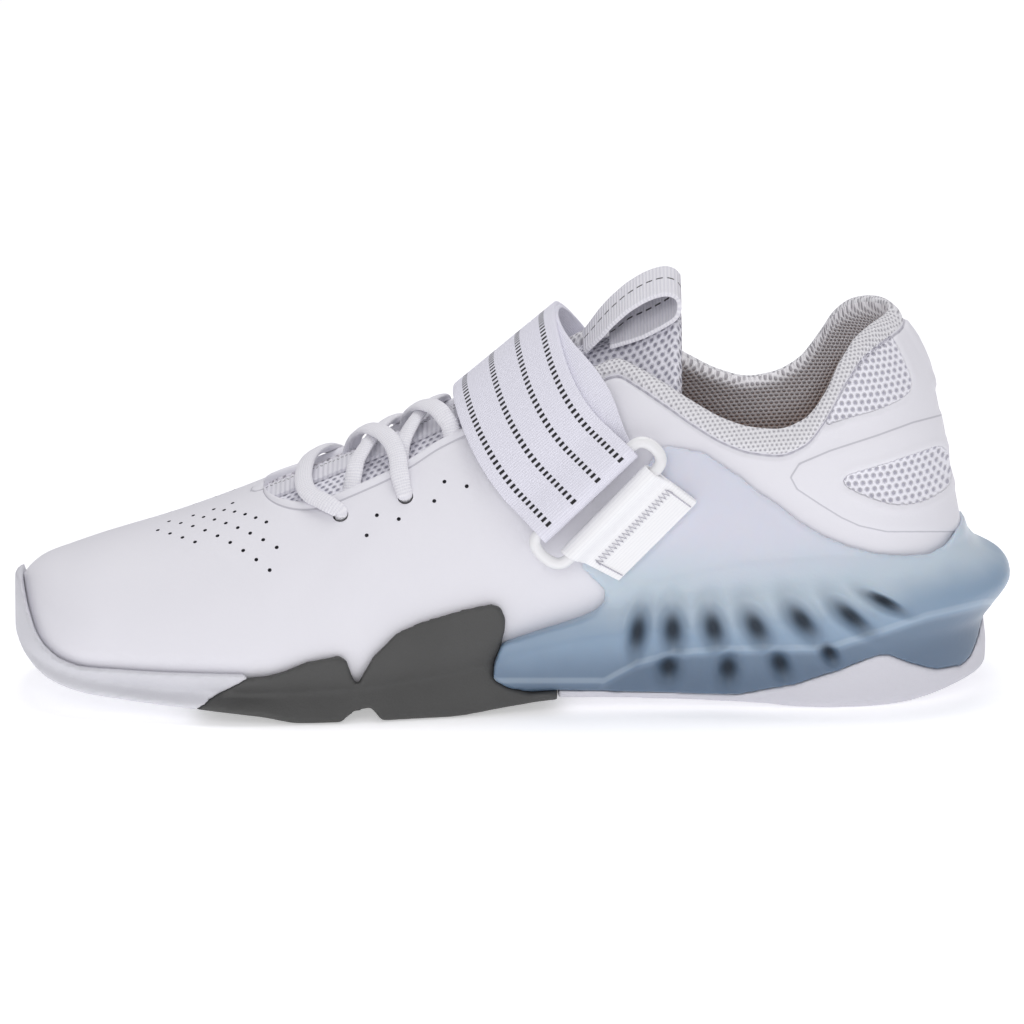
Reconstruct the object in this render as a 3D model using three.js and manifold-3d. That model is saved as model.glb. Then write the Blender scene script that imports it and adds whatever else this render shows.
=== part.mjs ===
// Weightlifting shoe, right foot, in millimetres: +X to the heel, +Z up, medial side at -Y.
// The origin is on the floor under the heel, where the heel outsole has its flat spot.
import * as THREE from "three";
import { mergeVertices } from "three/addons/utils/BufferGeometryUtils.js";
import Module from "manifold-3d";

const wasm = await Module();
wasm.setup();

// Driving dimensions of the last
const lastLength = 288;
const heelBack = 34; // the back of the last behind the origin
const heelRound = 42; // length of the round heel in plan
const toeRound = 26; // length of the round toe in plan
const ballWidth = 101;
const instepHeight = 118; // top of the tongue above the floor
const heelLift = 31; // the foot's seat above the floor at the heel
const backHeight = 122; // top of the heel tab above the floor
const heelLean = 25; // how far the heel tab leans forward at its top

// Driving dimensions of the pieces
const pieceGap = 0.35;
const upperWall = 2.5;
const collarPad = 7.5;
const tonguePad = 6;
const insoleThickness = 3.5;
const rubberStep = 2.8; // the sole's side stands this far off the upper
const clipWall = 1.6;
const lipLength = 15.5; // the heel clip's lip behind the last
const lipFlare = 11; // the heel clip's lip beside the last
const pocketDepth = 6;
const throatHalfWidth = 22;
const tongueHalfWidth = 28;
const eyeletRadius = 2.4;
const laceWidth = 6;
const laceThickness = 3.4;
const laceBow = 0.035; // how far the first bar bows to the toe, as a share of lastLength
const webbing = 1.6; // thickness of the strap's and the loop's tape
const ringBar = 3.4;
const ringHole = 4.6; // bore of the folded tape round the ring's bars
const loopWidth = 24;
const webbingStripWidth = 15;

// The last, a row for each section: at is the share of lastLength from heel to toe. Edges and ridge
// are shares of ballWidth, floor of heelLift and crown of instepHeight.
const lastSections = [
  { at: 0, medial: 0.337, lateral: 0.342, ridge: 0, floor: 1.016, crown: 1.12, fullness: 3.4 },
  { at: 0.147, medial: 0.339, lateral: 0.352, ridge: 0, floor: 0.994, crown: 1.11, fullness: 3.5 },
  { at: 0.224, medial: 0.342, lateral: 0.381, ridge: -0.01, floor: 0.95, crown: 1.06, fullness: 3.7 },
  { at: 0.304, medial: 0.342, lateral: 0.426, ridge: -0.02, floor: 0.852, crown: 1, fullness: 4.2 },
  { at: 0.346, medial: 0.345, lateral: 0.446, ridge: -0.02, floor: 0.787, crown: 0.966, fullness: 4.6 },
  { at: 0.395, medial: 0.354, lateral: 0.475, ridge: -0.02, floor: 0.69, crown: 0.928, fullness: 4.2 },
  { at: 0.448, medial: 0.366, lateral: 0.5, ridge: -0.02, floor: 0.59, crown: 0.868, fullness: 3.5 },
  { at: 0.493, medial: 0.386, lateral: 0.519, ridge: -0.02, floor: 0.5, crown: 0.805, fullness: 3 },
  { at: 0.573, medial: 0.426, lateral: 0.535, ridge: -0.02, floor: 0.381, crown: 0.705, fullness: 2.6 },
  { at: 0.661, medial: 0.469, lateral: 0.525, ridge: -0.02, floor: 0.316, crown: 0.61, fullness: 2.4 },
  { at: 0.748, medial: 0.485, lateral: 0.465, ridge: -0.03, floor: 0.306, crown: 0.526, fullness: 2.3 },
  { at: 0.836, medial: 0.465, lateral: 0.376, ridge: -0.05, floor: 0.348, crown: 0.452, fullness: 2.3 },
  { at: 0.906, medial: 0.43, lateral: 0.29, ridge: -0.065, floor: 0.394, crown: 0.404, fullness: 2.5 },
  { at: 0.951, medial: 0.415, lateral: 0.257, ridge: -0.075, floor: 0.458, crown: 0.369, fullness: 2.7 },
  { at: 0.977, medial: 0.41, lateral: 0.252, ridge: -0.079, floor: 0.53, crown: 0.348, fullness: 2.8 },
  { at: 0.993, medial: 0.408, lateral: 0.25, ridge: -0.079, floor: 0.6, crown: 0.322, fullness: 2.8 },
  { at: 1, medial: 0.408, lateral: 0.25, ridge: -0.079, floor: 0.65, crown: 0.302, fullness: 2.8 },
];

// Where the last's rings stand, in the same shares, and how high their points lie on each side.
const stations = [
  0.0002, 0.005, 0.018, 0.04, 0.07, 0.105, 0.147, 0.185, 0.225, 0.265, 0.304, 0.34, 0.38, 0.42, 0.46,
  0.51, 0.56, 0.61, 0.66, 0.71, 0.76, 0.81, 0.86, 0.905, 0.94, 0.965, 0.983, 0.994, 0.9996,
];
const ringHeights = [0, 0.09, 0.23, 0.4, 0.56, 0.7, 0.82, 0.92, 0.98];

// The back of the heel in side view: at is the share of the way up from seat to heel tab, lean of
// heelLean.
const heelCurve = [
  { at: -0.1, lean: 0.08 },
  { at: 0.15, lean: 0 },
  { at: 0.34, lean: 0.1 },
  { at: 0.57, lean: 0.25 },
  { at: 0.73, lean: 0.38 },
  { at: 0.85, lean: 0.56 },
  { at: 0.95, lean: 0.84 },
  { at: 1.05, lean: 1.16 },
];

// The collar's edge from the throat to the heel tab: at as above, its height on the medial and the
// lateral side a share of backHeight.
const collarEdge = [
  { at: 0.4, medial: 0.882, lateral: 0.876 },
  { at: 0.37, medial: 0.886, lateral: 0.876 },
  { at: 0.346, medial: 0.872, lateral: 0.856 },
  { at: 0.318, medial: 0.84, lateral: 0.82 },
  { at: 0.287, medial: 0.795, lateral: 0.776 },
  { at: 0.255, medial: 0.753, lateral: 0.738 },
  { at: 0.225, medial: 0.729, lateral: 0.722 },
  { at: 0.195, medial: 0.722, lateral: 0.736 },
  { at: 0.165, medial: 0.746, lateral: 0.776 },
  { at: 0.14, medial: 0.806, lateral: 0.842 },
  { at: 0.11, medial: 0.895, lateral: 0.918 },
  { at: 0.075, medial: 0.95, lateral: 0.958 },
  { at: 0.035, medial: 0.975, lateral: 0.977 },
  { at: 0.0002, medial: 0.984, lateral: 0.984 },
];

// The ground line of the sole: at a share of lastLength from the heel's back, height of heelLift.
const groundLine = [
  { at: -0.06, height: 0.15 },
  { at: -0.02, height: 0.12 },
  { at: 0.085, height: 0 },
  { at: 0.16, height: 0 },
  { at: 0.22, height: 0.05 },
  { at: 0.35, height: 0.106 },
  { at: 0.43, height: 0.126 },
  { at: 0.48, height: 0.077 },
  { at: 0.55, height: 0 },
  { at: 0.7, height: 0 },
  { at: 0.745, height: 0.07 },
  { at: 0.81, height: 0.135 },
  { at: 0.92, height: 0.235 },
  { at: 0.965, height: 0.32 },
  { at: 0.99, height: 0.46 },
  { at: 1, height: 0.57 },
];

// Side profiles of the sole pieces, in the ground line's shares.
const toeProfile = [
  { at: 1.04, height: 1.2 },
  { at: 1.002, height: 1.18 },
  { at: 0.995, height: 0.97 },
  { at: 0.986, height: 0.77 },
  { at: 0.977, height: 0.66 },
  { at: 0.961, height: 0.56 },
  { at: 0.94, height: 0.51 },
  { at: 0.878, height: 0.5 },
  { at: 0.763, height: 0.5 },
];
const toeJoint = [
  { at: 0.759, height: 0.46 },
  { at: 0.787, height: 0.3 },
  { at: 0.817, height: 0.13 },
  { at: 0.822, height: -0.1 },
];
const forefootProfile = [
  { at: 0.741, height: 0.475 },
  { at: 0.722, height: 0.52 },
  { at: 0.696, height: 0.625 },
  { at: 0.662, height: 0.68 },
  { at: 0.654, height: 0.63 },
  { at: 0.649, height: 0.47 },
  { at: 0.643, height: 0.34 },
  { at: 0.638, height: 0.45 },
  { at: 0.626, height: 0.655 },
  { at: 0.601, height: 0.885 },
  { at: 0.575, height: 0.985 },
  { at: 0.531, height: 1.09 },
  { at: 0.5, height: 1.14 },
];
const clipFront = [
  { at: 0.491, height: 1.1 },
  { at: 0.486, height: 0.98 },
  { at: 0.487, height: 0.86 },
  { at: 0.491, height: 0.7 },
  { at: 0.498, height: 0.52 },
  { at: 0.499, height: 0.37 },
  { at: 0.484, height: 0.27 },
  { at: 0.46, height: 0.21 },
  { at: 0.431, height: 0.225 },
];
const groundNotch = [
  { at: 0.61, height: -0.1 },
  { at: 0.618, height: 0.03 },
  { at: 0.628, height: 0.14 },
  { at: 0.646, height: 0.12 },
  { at: 0.66, height: 0.02 },
  { at: 0.665, height: -0.1 },
];
const heelBoundary = [
  { at: 0.431, height: 0.225 },
  { at: 0.3, height: 0.18 },
  { at: 0.238, height: 0.17 },
  { at: 0.178, height: 0.285 },
  { at: 0.142, height: 0.4 },
  { at: 0.103, height: 0.55 },
  { at: 0.09, height: 0.59 },
  { at: 0.08, height: 0.585 },
  { at: 0.056, height: 0.46 },
  { at: 0.03, height: 0.355 },
  { at: 0, height: 0.33 },
  { at: -0.01, height: 0.4 },
  { at: -0.018, height: 0.55 },
  { at: -0.022, height: 0.66 },
  { at: -0.06, height: 0.66 },
];
const clipTop = [
  { at: -0.08, height: 1.68 },
  { at: -0.01, height: 1.68 },
  { at: 0.005, height: 1.64 },
  { at: 0.018, height: 1.55 },
  { at: 0.035, height: 1.51 },
  { at: 0.068, height: 1.55 },
  { at: 0.095, height: 1.6 },
  { at: 0.122, height: 1.68 },
  { at: 0.151, height: 1.8 },
  { at: 0.174, height: 1.935 },
  { at: 0.199, height: 2.12 },
  { at: 0.222, height: 2.26 },
  { at: 0.237, height: 2.39 },
  { at: 0.259, height: 2.52 },
  { at: 0.276, height: 2.63 },
  { at: 0.302, height: 2.68 },
  { at: 0.32, height: 2.69 },
  { at: 0.41, height: 1.7 },
  { at: 0.405, height: 1.48 },
  { at: 0.395, height: 1.37 },
  { at: 0.382, height: 1.26 },
  { at: 0.381, height: 1.13 },
  { at: 0.39, height: 1.04 },
  { at: 0.409, height: 0.96 },
  { at: 0.458, height: 0.82 },
  { at: 0.487, height: 0.74 },
];

// The rear of the sole, a row for each level outline from ground to waist. Heights, shares of
// heelLift, are above the ground line at the front, arch, heel side and back; side is a share of
// lipFlare beside the last, behind of lipLength behind it.
const rearLevels = [
  { front: 0, arch: 0, heel: 0, back: 0, side: -0.12, behind: 0.15 },
  { front: 0.1, arch: 0.08, heel: 0.09, back: 0.1, side: 0.12, behind: 0.5 },
  { front: 0.22, arch: 0.27, heel: 0.48, back: 0.32, side: 0.42, behind: 0.52 },
  { front: 0.3, arch: 0.47, heel: 0.7, back: 0.6, side: 0.68, behind: 0.47 },
  { front: 0.4, arch: 0.66, heel: 0.87, back: 0.79, side: 0.88, behind: 0.68 },
  { front: 0.5, arch: 0.8, heel: 1.03, back: 1.05, side: 1, behind: 1 },
  { front: 0.62, arch: 0.96, heel: 1.2, back: 1.17, side: 0.78, behind: 0.9 },
  { front: 0.74, arch: 1.12, heel: 1.38, back: 1.29, side: 0.42, behind: 0.42 },
  { front: 0.86, arch: 1.28, heel: 1.58, back: 1.45, side: 0.16, behind: 0.11 },
];

// Pockets between the ribs of the heel clip, on both sides, in the ground line's shares.
const pockets = [
  { at: 0.346, height: 0.87, tilt: 4, tall: 8, wide: 4.4 },
  { at: 0.309, height: 0.9, tilt: 8, tall: 8.4, wide: 4.8 },
  { at: 0.265, height: 0.93, tilt: 14, tall: 8.8, wide: 5 },
  { at: 0.218, height: 0.955, tilt: 24, tall: 9.4, wide: 5.2 },
  { at: 0.168, height: 1.01, tilt: 36, tall: 10, wide: 5.2 },
  { at: 0.118, height: 1.05, tilt: 48, tall: 10.4, wide: 5 },
  { at: 0.313, height: 0.56, tilt: 10, tall: 5, wide: 4.2 },
  { at: 0.25, height: 0.545, tilt: 16, tall: 5.4, wide: 4.4 },
  { at: 0.19, height: 0.62, tilt: 30, tall: 5.4, wide: 4.4 },
];

// Eyelet pairs along the throat: at as above.
const eyelets = [{ at: 0.664 }, { at: 0.596 }, { at: 0.549 }];

// The instep strap in side view, front and rear edge: at as above, heights shares of instepHeight.
const strapCrest = { front: { at: 0.541, height: 0.752 }, rear: { at: 0.434, height: 0.975 } };
const strapFold = { front: { at: 0.45, height: 0.49 }, rear: { at: 0.352, height: 0.715 } };
const strapAnchor = { front: { at: 0.44, height: 0.36 }, rear: { at: 0.342, height: 0.56 } };
const ringLower = { front: { at: 0.421, height: 0.425 }, rear: { at: 0.327, height: 0.66 } };
const tabEnd = { front: { at: 0.369, height: 0.355 }, rear: { at: 0.281, height: 0.575 } };
const strapUnderShift = 0.07; // the lower layer lies this share of the width further back
const strapFreeEnd = 0.72; // the free end's share of the way down the lateral side

// Pull loop in side view: at as above, heights shares of instepHeight.
const loopOutline = [
  { at: 0.402, height: 0.912 },
  { at: 0.37, height: 1.02 },
  { at: 0.345, height: 1.07 },
  { at: 0.322, height: 1.094 },
  { at: 0.308, height: 1.09 },
  { at: 0.302, height: 1.06 },
  { at: 0.304, height: 1.015 },
  { at: 0.318, height: 0.972 },
  { at: 0.345, height: 0.945 },
  { at: 0.375, height: 0.92 },
];

const clamp = (v, low, high) => Math.min(high, Math.max(low, v));
const mix = (a, b, share) => a + (b - a) * share;
const atX = (at) => heelBack - at * lastLength;
const vec = (x, y, z) => new THREE.Vector3(x, y, z);

// A smooth curve through one column of a table whose rows rise in at, without overshoot.
function curveOf(rows, column) {
  const xs = rows.map((row) => row.at);
  const ys = rows.map((row) => row[column]);
  const last = xs.length - 1;
  const steps = xs.slice(1).map((x, i) => (ys[i + 1] - ys[i]) / (x - xs[i]));
  const slopeAt = (i) => {
    if (i === 0) return steps[0];
    if (i === last) return steps[last - 1];
    const product = steps[i - 1] * steps[i];
    return product <= 0 ? 0 : (2 * product) / (steps[i - 1] + steps[i]);
  };
  return (x) => {
    if (x <= xs[0]) return ys[0];
    if (x >= xs[last]) return ys[last];
    const i = xs.findIndex((value) => value > x) - 1;
    const width = xs[i + 1] - xs[i];
    const u = (x - xs[i]) / width;
    const rise = u * u * (3 - 2 * u);
    const bend = u * (1 - u) * width;
    return mix(ys[i], ys[i + 1], rise) + bend * ((1 - u) * slopeAt(i) - u * slopeAt(i + 1));
  };
}

const medialOf = curveOf(lastSections, "medial");
const lateralOf = curveOf(lastSections, "lateral");
const ridgeOf = curveOf(lastSections, "ridge");
const floorOf = curveOf(lastSections, "floor");
const crownOf = curveOf(lastSections, "crown");
const fullnessOf = curveOf(lastSections, "fullness");
const leanOf = curveOf(heelCurve, "lean");
const groundOf = curveOf(groundLine, "height");

// One section of the last, at a share of its length, grown by an offset.
function sectionAt(at, offset) {
  const nominal = atX(at);
  const roundStart = heelBack - heelRound;
  const into = clamp((nominal - roundStart) / heelRound, 0, 1);
  const toeShare = clamp(1 - ((1 - at) * lastLength) / toeRound, 0, 1);
  const close = Math.sqrt(1 - Math.pow(Math.max(into, toeShare), 2.3));
  const centre = (ballWidth * (lateralOf(at) - medialOf(at))) / 2;
  const half = ((ballWidth * (lateralOf(at) + medialOf(at))) / 2 + offset) * close;
  return {
    x: nominal + offset * into - offset * toeShare,
    medial: centre - half,
    lateral: centre + half,
    ridge: ballWidth * ridgeOf(at),
    floor: heelLift * floorOf(at) - offset,
    crown: instepHeight * crownOf(at) + offset,
    fullness: fullnessOf(at),
  };
}

// Share of the half width that is left at a share of the height.
function widthShare(t, fullness) {
  const tuck = t < 0.25 ? 1 - 0.1 * Math.pow(1 - t / 0.25, 2) : 1;
  return tuck * Math.sqrt(Math.max(0, 1 - Math.pow(t, fullness)));
}

// The heel leans forward with height, more so towards its back.
function leaning(x, z) {
  const hold = clamp((x + heelRound * 1.4) / (heelBack + heelRound * 1.4), 0, 1);
  const up = (z - heelLift) / (backHeight - heelLift);
  return x - heelLean * leanOf(up) * hold * hold;
}

// A point on the side of the last: side is -1 for medial and 1 for lateral.
function lastPoint(at, z, side, offset, lift = 0) {
  const s = sectionAt(at, offset);
  const t = clamp((z - s.floor) / (s.crown + lift - s.floor), 0, 1);
  const edge = side < 0 ? s.medial : s.lateral;
  return vec(leaning(s.x, z), s.ridge + (edge - s.ridge) * widthShare(t, s.fullness), z);
}

// A point on top of the last, above a place in plan, for at between the toe and the collar.
function topPoint(at, y, offset) {
  const s = sectionAt(at, offset);
  const edge = y < s.ridge ? s.medial : s.lateral;
  const share = clamp((y - s.ridge) / (edge - s.ridge), 0, 0.98);
  const t = Math.pow(1 - share * share, 1 / s.fullness);
  return vec(s.x, y, mix(s.floor, s.crown, t));
}

// Closed solids from points and triangles, the right way out.
function solidOf(points, triangles) {
  const make = (list) =>
    new wasm.Manifold(
      new wasm.Mesh({
        numProp: 3,
        vertProperties: new Float32Array(points.flatMap((p) => [p.x, p.y, p.z])),
        triVerts: new Uint32Array(list),
      }),
    );
  const first = make(triangles.flat());
  return first.volume() < 0 ? make(triangles.map(([a, b, c]) => [a, c, b]).flat()) : first;
}

// The ring's own triangles between its two sides, which meet on either side of the fold.
function foldCap(count, fold) {
  let left = fold - 1;
  let right = (fold + 1) % count;
  const triangles = [[left, fold, right]];
  while (left !== right) {
    const below = (left + count - 1) % count;
    const above = (right + 1) % count;
    if (left === above) break;
    triangles.push([below, left, right]);
    if (below !== above) triangles.push([below, right, above]);
    left = below;
    right = below === above ? below : above;
  }
  return triangles;
}

// A loft through rings of equal count, joined end to end or closed at each end: by a fan, or across
// the ring from the point named as its fold.
function loft(rings, { joined = false, fold = null } = {}) {
  const count = rings[0].length;
  const points = rings.flat();
  const triangles = [];
  const spans = joined ? rings.length : rings.length - 1;
  for (let i = 0; i < spans; i++) {
    const here = i * count;
    const next = ((i + 1) % rings.length) * count;
    for (let j = 0; j < count; j++) {
      const k = (j + 1) % count;
      triangles.push([here + j, next + j, next + k], [here + j, next + k, here + k]);
    }
  }
  if (!joined && fold !== null) {
    const end = (rings.length - 1) * count;
    for (const [a, b, c] of foldCap(count, fold)) {
      triangles.push([a, b, c], [end + c, end + b, end + a]);
    }
  } else if (!joined) {
    for (const [start, turn] of [
      [0, 0],
      [(rings.length - 1) * count, 1],
    ]) {
      const centre = vec(0, 0, 0);
      for (let j = 0; j < count; j++) centre.addScaledVector(points[start + j], 1 / count);
      points.push(centre);
      for (let j = 0; j < count; j++) {
        const k = (j + 1) % count;
        const pair = turn ? [start + k, start + j] : [start + j, start + k];
        triangles.push([points.length - 1, ...pair]);
      }
    }
  }
  return solidOf(points, triangles);
}

// A geometry of three.js as a solid.
function solidFromGeometry(geometry) {
  const bare = geometry.clone();
  bare.deleteAttribute("normal");
  bare.deleteAttribute("uv");
  const merged = mergeVertices(bare, 1e-4);
  const at = merged.attributes.position;
  const points = [];
  for (let i = 0; i < at.count; i++) points.push(vec(at.getX(i), at.getY(i), at.getZ(i)));
  const triangles = [];
  const index = merged.index.array;
  for (let i = 0; i < index.length; i += 3) triangles.push([index[i], index[i + 1], index[i + 2]]);
  return solidOf(points, triangles);
}

// A prism with its outline in side view, from one y to another.
function sidePrism(outline, fromY, toY) {
  const shape = new THREE.Shape(outline.map(([x, z]) => new THREE.Vector2(x, z)));
  const geometry = new THREE.ExtrudeGeometry(shape, { depth: toY - fromY, bevelEnabled: false });
  geometry.rotateX(Math.PI / 2).translate(0, toY, 0);
  return solidFromGeometry(geometry);
}

// A prism with its outline in plan, from one z to another.
function planPrism(outline, fromZ, toZ) {
  const shape = new THREE.Shape(outline.map(([x, y]) => new THREE.Vector2(x, y)));
  const geometry = new THREE.ExtrudeGeometry(shape, { depth: toZ - fromZ, bevelEnabled: false });
  geometry.translate(0, 0, fromZ);
  return solidFromGeometry(geometry);
}

// A band swept along a path, with an oval section of so many sides. Ups are the surface normals.
function sweep(path, ups, width, thickness, sides, joined = false) {
  const last = path.length - 1;
  const rings = path.map((point, i) => {
    const before = path[joined ? (i + last) % (last + 1) : Math.max(0, i - 1)];
    const after = path[joined ? (i + 1) % (last + 1) : Math.min(last, i + 1)];
    const along = after.clone().sub(before).normalize();
    const across = along.clone().cross(ups[i]).normalize();
    const up = across.clone().cross(along).normalize();
    const ring = [];
    for (let k = 0; k < sides; k++) {
      const angle = (2 * Math.PI * (k + 0.5)) / sides;
      const w = (Array.isArray(width) ? width[i] : width) / 2;
      const h = (Array.isArray(thickness) ? thickness[i] : thickness) / 2;
      ring.push(
        point
          .clone()
          .addScaledVector(across, w * Math.cos(angle))
          .addScaledVector(up, h * Math.sin(angle)),
      );
    }
    return ring;
  });
  return loft(rings, { joined });
}

// A thin patch: each row holds pairs of outer and inner points across its width.
function patch(rows) {
  return loft(
    rows.map((row) => [
      ...row.map((pair) => pair.outer),
      ...row
        .slice()
        .reverse()
        .map((pair) => pair.inner),
    ]),
  );
}

// The whole last as a solid, grown by an offset; drop lowers its floor and keep ends it at a height.
function lastSolid(offset, { drop = 0, keep = null } = {}) {
  const heights = keep === null ? ringHeights : [0, 0.5];
  const rings = stations.map((at) => {
    const s = sectionAt(at, offset);
    const side = (sign) =>
      heights.map((share) => {
        const top = keep === null ? s.crown : s.floor + keep;
        return lastPoint(at, mix(s.floor, top, share), sign, offset);
      });
    const medial = side(-1);
    const lateral = side(1).reverse();
    const topZ = keep === null ? s.crown : s.floor + keep;
    const top = [vec(leaning(s.x, topZ), keep === null ? s.ridge : (s.medial + s.lateral) / 2, topZ)];
    const floorZ = s.floor - drop;
    if (drop > 0) {
      medial[0].z = floorZ;
      lateral[lateral.length - 1].z = floorZ;
    }
    const middle = (medial[0].y + lateral[lateral.length - 1].y) / 2;
    const bottomX = leaning(s.x, s.floor);
    const under = [mix(lateral[lateral.length - 1].y, middle, 0.5), middle, mix(medial[0].y, middle, 0.5)];
    return [...medial, ...top, ...lateral, ...under.map((y) => vec(bottomX, y, floorZ))];
  });
  return loft(rings, { fold: heights.length });
}

const sideOutline = (rows) => rows.map((row) => [atX(row.at), row.height * heelLift]);
const wide = ballWidth;

// The collar's edge on one side, as points of the last.
function collarPoints(side, offset, below = 0) {
  const column = side < 0 ? "medial" : "lateral";
  return collarEdge.map((row) => lastPoint(row.at, row[column] * backHeight - below, side, offset));
}

// What is cut off above the collar: each side's edge in side view, up past the last.
function collarCutter() {
  const high = instepHeight * 2;
  const half = (side) => {
    const edge = collarPoints(side, 0).map((p) => [p.x, p.z]);
    const front = [edge[0][0] - throatHalfWidth / 2, edge[0][1] + 1];
    const back = [heelBack * 2, edge[edge.length - 1][1]];
    const outline = [[front[0], high], front, ...edge, back, [back[0], high]];
    return sidePrism(outline, Math.min(0, side * wide), Math.max(0, side * wide));
  };
  return half(-1).add(half(1));
}

// The throat: a U in plan from the collar forwards, round at its front end.
function throatCutter() {
  const front = 0.772;
  const rear = 0.36;
  const bendAt = front - throatHalfWidth / lastLength;
  const ridge = (at) => ballWidth * ridgeOf(at);
  const outline = [];
  for (let i = 0; i <= 8; i++) {
    const angle = (Math.PI * i) / 8;
    const y = ridge(bendAt) + throatHalfWidth * Math.cos(angle);
    outline.push([atX(bendAt) - throatHalfWidth * Math.sin(angle), y]);
  }
  outline.push([atX(0.5), ridge(0.5) - throatHalfWidth * 0.95]);
  outline.push([atX(rear), ridge(rear) - throatHalfWidth * 0.62]);
  outline.push([atX(rear), ridge(rear) + throatHalfWidth * 0.62]);
  outline.push([atX(0.5), ridge(0.5) + throatHalfWidth * 0.95]);
  return planPrism(outline, heelLift, instepHeight * 2);
}

// The padded roll inside the collar's edge, from throat to throat round the heel.
function collarRoll(grow) {
  const inset = -collarPad / 2;
  const lower = collarPad / 2;
  const medial = collarPoints(-1, inset, lower);
  const lateral = collarPoints(1, inset, lower).reverse();
  const path = [...medial, ...lateral.slice(1)];
  const count = path.length - 1;
  const sizes = path.map((p, i) => {
    const fromEnd = Math.min(i, count - i);
    return collarPad * clamp(0.5 + fromEnd * 0.17, 0.5, 1) + 2 * grow;
  });
  const ups = path.map(() => vec(0, 0, 1));
  return sweep(path, ups, sizes, sizes, 8);
}

function eyeletCutter() {
  const holes = [];
  for (const row of eyelets) {
    for (const side of [-1, 1]) {
      const y = ballWidth * ridgeOf(row.at) + side * (throatHalfWidth + laceWidth);
      const spot = topPoint(row.at, y, 0);
      const hole = new THREE.CylinderGeometry(eyeletRadius, eyeletRadius, upperWall * 5, 8);
      hole.rotateX(Math.PI / 2 + side * 0.75).translate(spot.x, spot.y, spot.z);
      holes.push(solidFromGeometry(hole));
    }
  }
  return holes.reduce((a, b) => a.add(b));
}

// Upper: one wall over the last, open at collar, throat and underneath, with the padded collar.
function makeUpper() {
  return lastSolid(0)
    .subtract(lastSolid(-upperWall, { drop: heelLift }))
    .subtract(collarCutter())
    .subtract(throatCutter())
    .add(collarRoll(0).subtract(throatCutter()))
    .subtract(eyeletCutter());
}

// Tongue: a padded sheet inside the throat, its top above the collar's front.
function makeTongue() {
  const under = -upperWall - 2 * pieceGap;
  const collarStart = 0.48;
  const sink = collarPad - upperWall + pieceGap; // its sides pass below the padded collar
  const rows = [];
  const steps = 11;
  const across = 8;
  for (let i = 0; i <= steps; i++) {
    const at = mix(0.79, 0.299, i / steps);
    const half = tongueHalfWidth * mix(0.96, 0.92, i / steps);
    const ridge = ballWidth * ridgeOf(at);
    const pad = tonguePad * mix(0.55, 1, clamp(i / 3, 0, 1));
    const row = [];
    for (let j = 0; j <= across; j++) {
      const y = mix(-half, half, j / across);
      const beside = clamp((Math.abs(y) - collarPad) / collarPad, 0, 1);
      const outer = under - sink * beside * clamp((collarStart - at) * 14, 0, 1);
      const shrink = 1 - tonguePad / half / 2;
      row.push({
        outer: topPoint(at, ridge + y, outer),
        inner: topPoint(at, ridge + y * shrink, outer - pad),
      });
    }
    rows.push(row);
  }
  return patch(rows);
}

// Insole: the foot's bed inside the upper.
function makeInsole() {
  return lastSolid(-upperWall - pieceGap, { keep: insoleThickness - upperWall, drop: upperWall });
}

// Outside of the front sole: from the ground up the sides of the last.
function frontShell() {
  const rows = stations.filter((at) => at > 0.4);
  const shares = [0.09, 0.24, 0.42, 0.62, 0.82, 1];
  const rings = rows.map((at) => {
    const s = sectionAt(at, rubberStep);
    const ground = heelLift * groundOf(at);
    const centre = (s.medial + s.lateral) / 2;
    const lowX = mix(s.x, atX(at), 0.5);
    const lower = (edge) => [
      vec(lowX, mix(centre, edge, 0.5), ground),
      vec(lowX, mix(centre, edge, 0.99), ground),
      vec(s.x, mix(centre, edge, 1.02), ground + heelLift * 0.07),
    ];
    const reach = mix(0.5, 0.97, clamp((at - 0.88) / 0.1, 0, 1));
    const upperSide = (side) =>
      shares.map((t) => lastPoint(at, mix(s.floor, s.crown, t * reach), side, rubberStep));
    const top = vec(s.x, centre, mix(s.floor, s.crown, reach));
    return [
      vec(lowX, centre, ground),
      ...lower(s.medial),
      ...upperSide(-1),
      top,
      ...upperSide(1).reverse(),
      ...lower(s.lateral).reverse(),
    ];
  });
  return loft(rings);
}

// Outside of the rear sole, a level outline for each row of rearLevels.
function rearShell() {
  const frontAt = 0.52;
  const sideSteps = 12;
  const backSteps = 5;
  const backCount = sideSteps + backSteps;
  const rings = rearLevels.map((level) => {
    const heights = curveOf(
      [
        { at: -0.06, height: level.back },
        { at: 0.1, height: level.heel },
        { at: 0.35, height: level.arch },
        { at: 0.52, height: level.front },
      ],
      "height",
    );
    const backX = heelBack + lipLength * level.behind;
    const frontX = atX(frontAt);
    const roundX = heelBack - heelRound;
    const outline = (side) => {
      const row = [];
      for (let i = 0; i <= backCount; i++) {
        const turn = clamp((i - sideSteps) / (backSteps + 0.4), 0, 1) * (Math.PI / 2);
        const x =
          i <= sideSteps
            ? mix(frontX, roundX, i / sideSteps)
            : roundX + (backX - roundX) * Math.sin(turn);
        const at = (heelBack - x) / lastLength;
        const width = ballWidth * (side < 0 ? medialOf(at) : lateralOf(at));
        const flare = lipFlare * level.side * mix(0.3, 1, clamp((frontAt - at) / 0.28, 0, 1));
        const y = side * (width + flare) * Math.pow(Math.cos(turn), 0.85);
        row.push(vec(x, y, heelLift * (groundOf(at) * (level.side < 0.2 ? 1 : 0.4) + heights(at))));
      }
      return row;
    };
    return [...outline(-1), ...outline(1).reverse()];
  });
  return loft(rings, { fold: backCount });
}

// Outsole of the toe: a bumper that wraps the tip and runs back along both sides.
function makeToe() {
  const outline = sideOutline([...toeProfile, ...toeJoint, { at: 1.04, height: -0.1 }]);
  return frontShell().intersect(sidePrism(outline, -wide, wide)).subtract(lastSolid(pieceGap));
}

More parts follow.
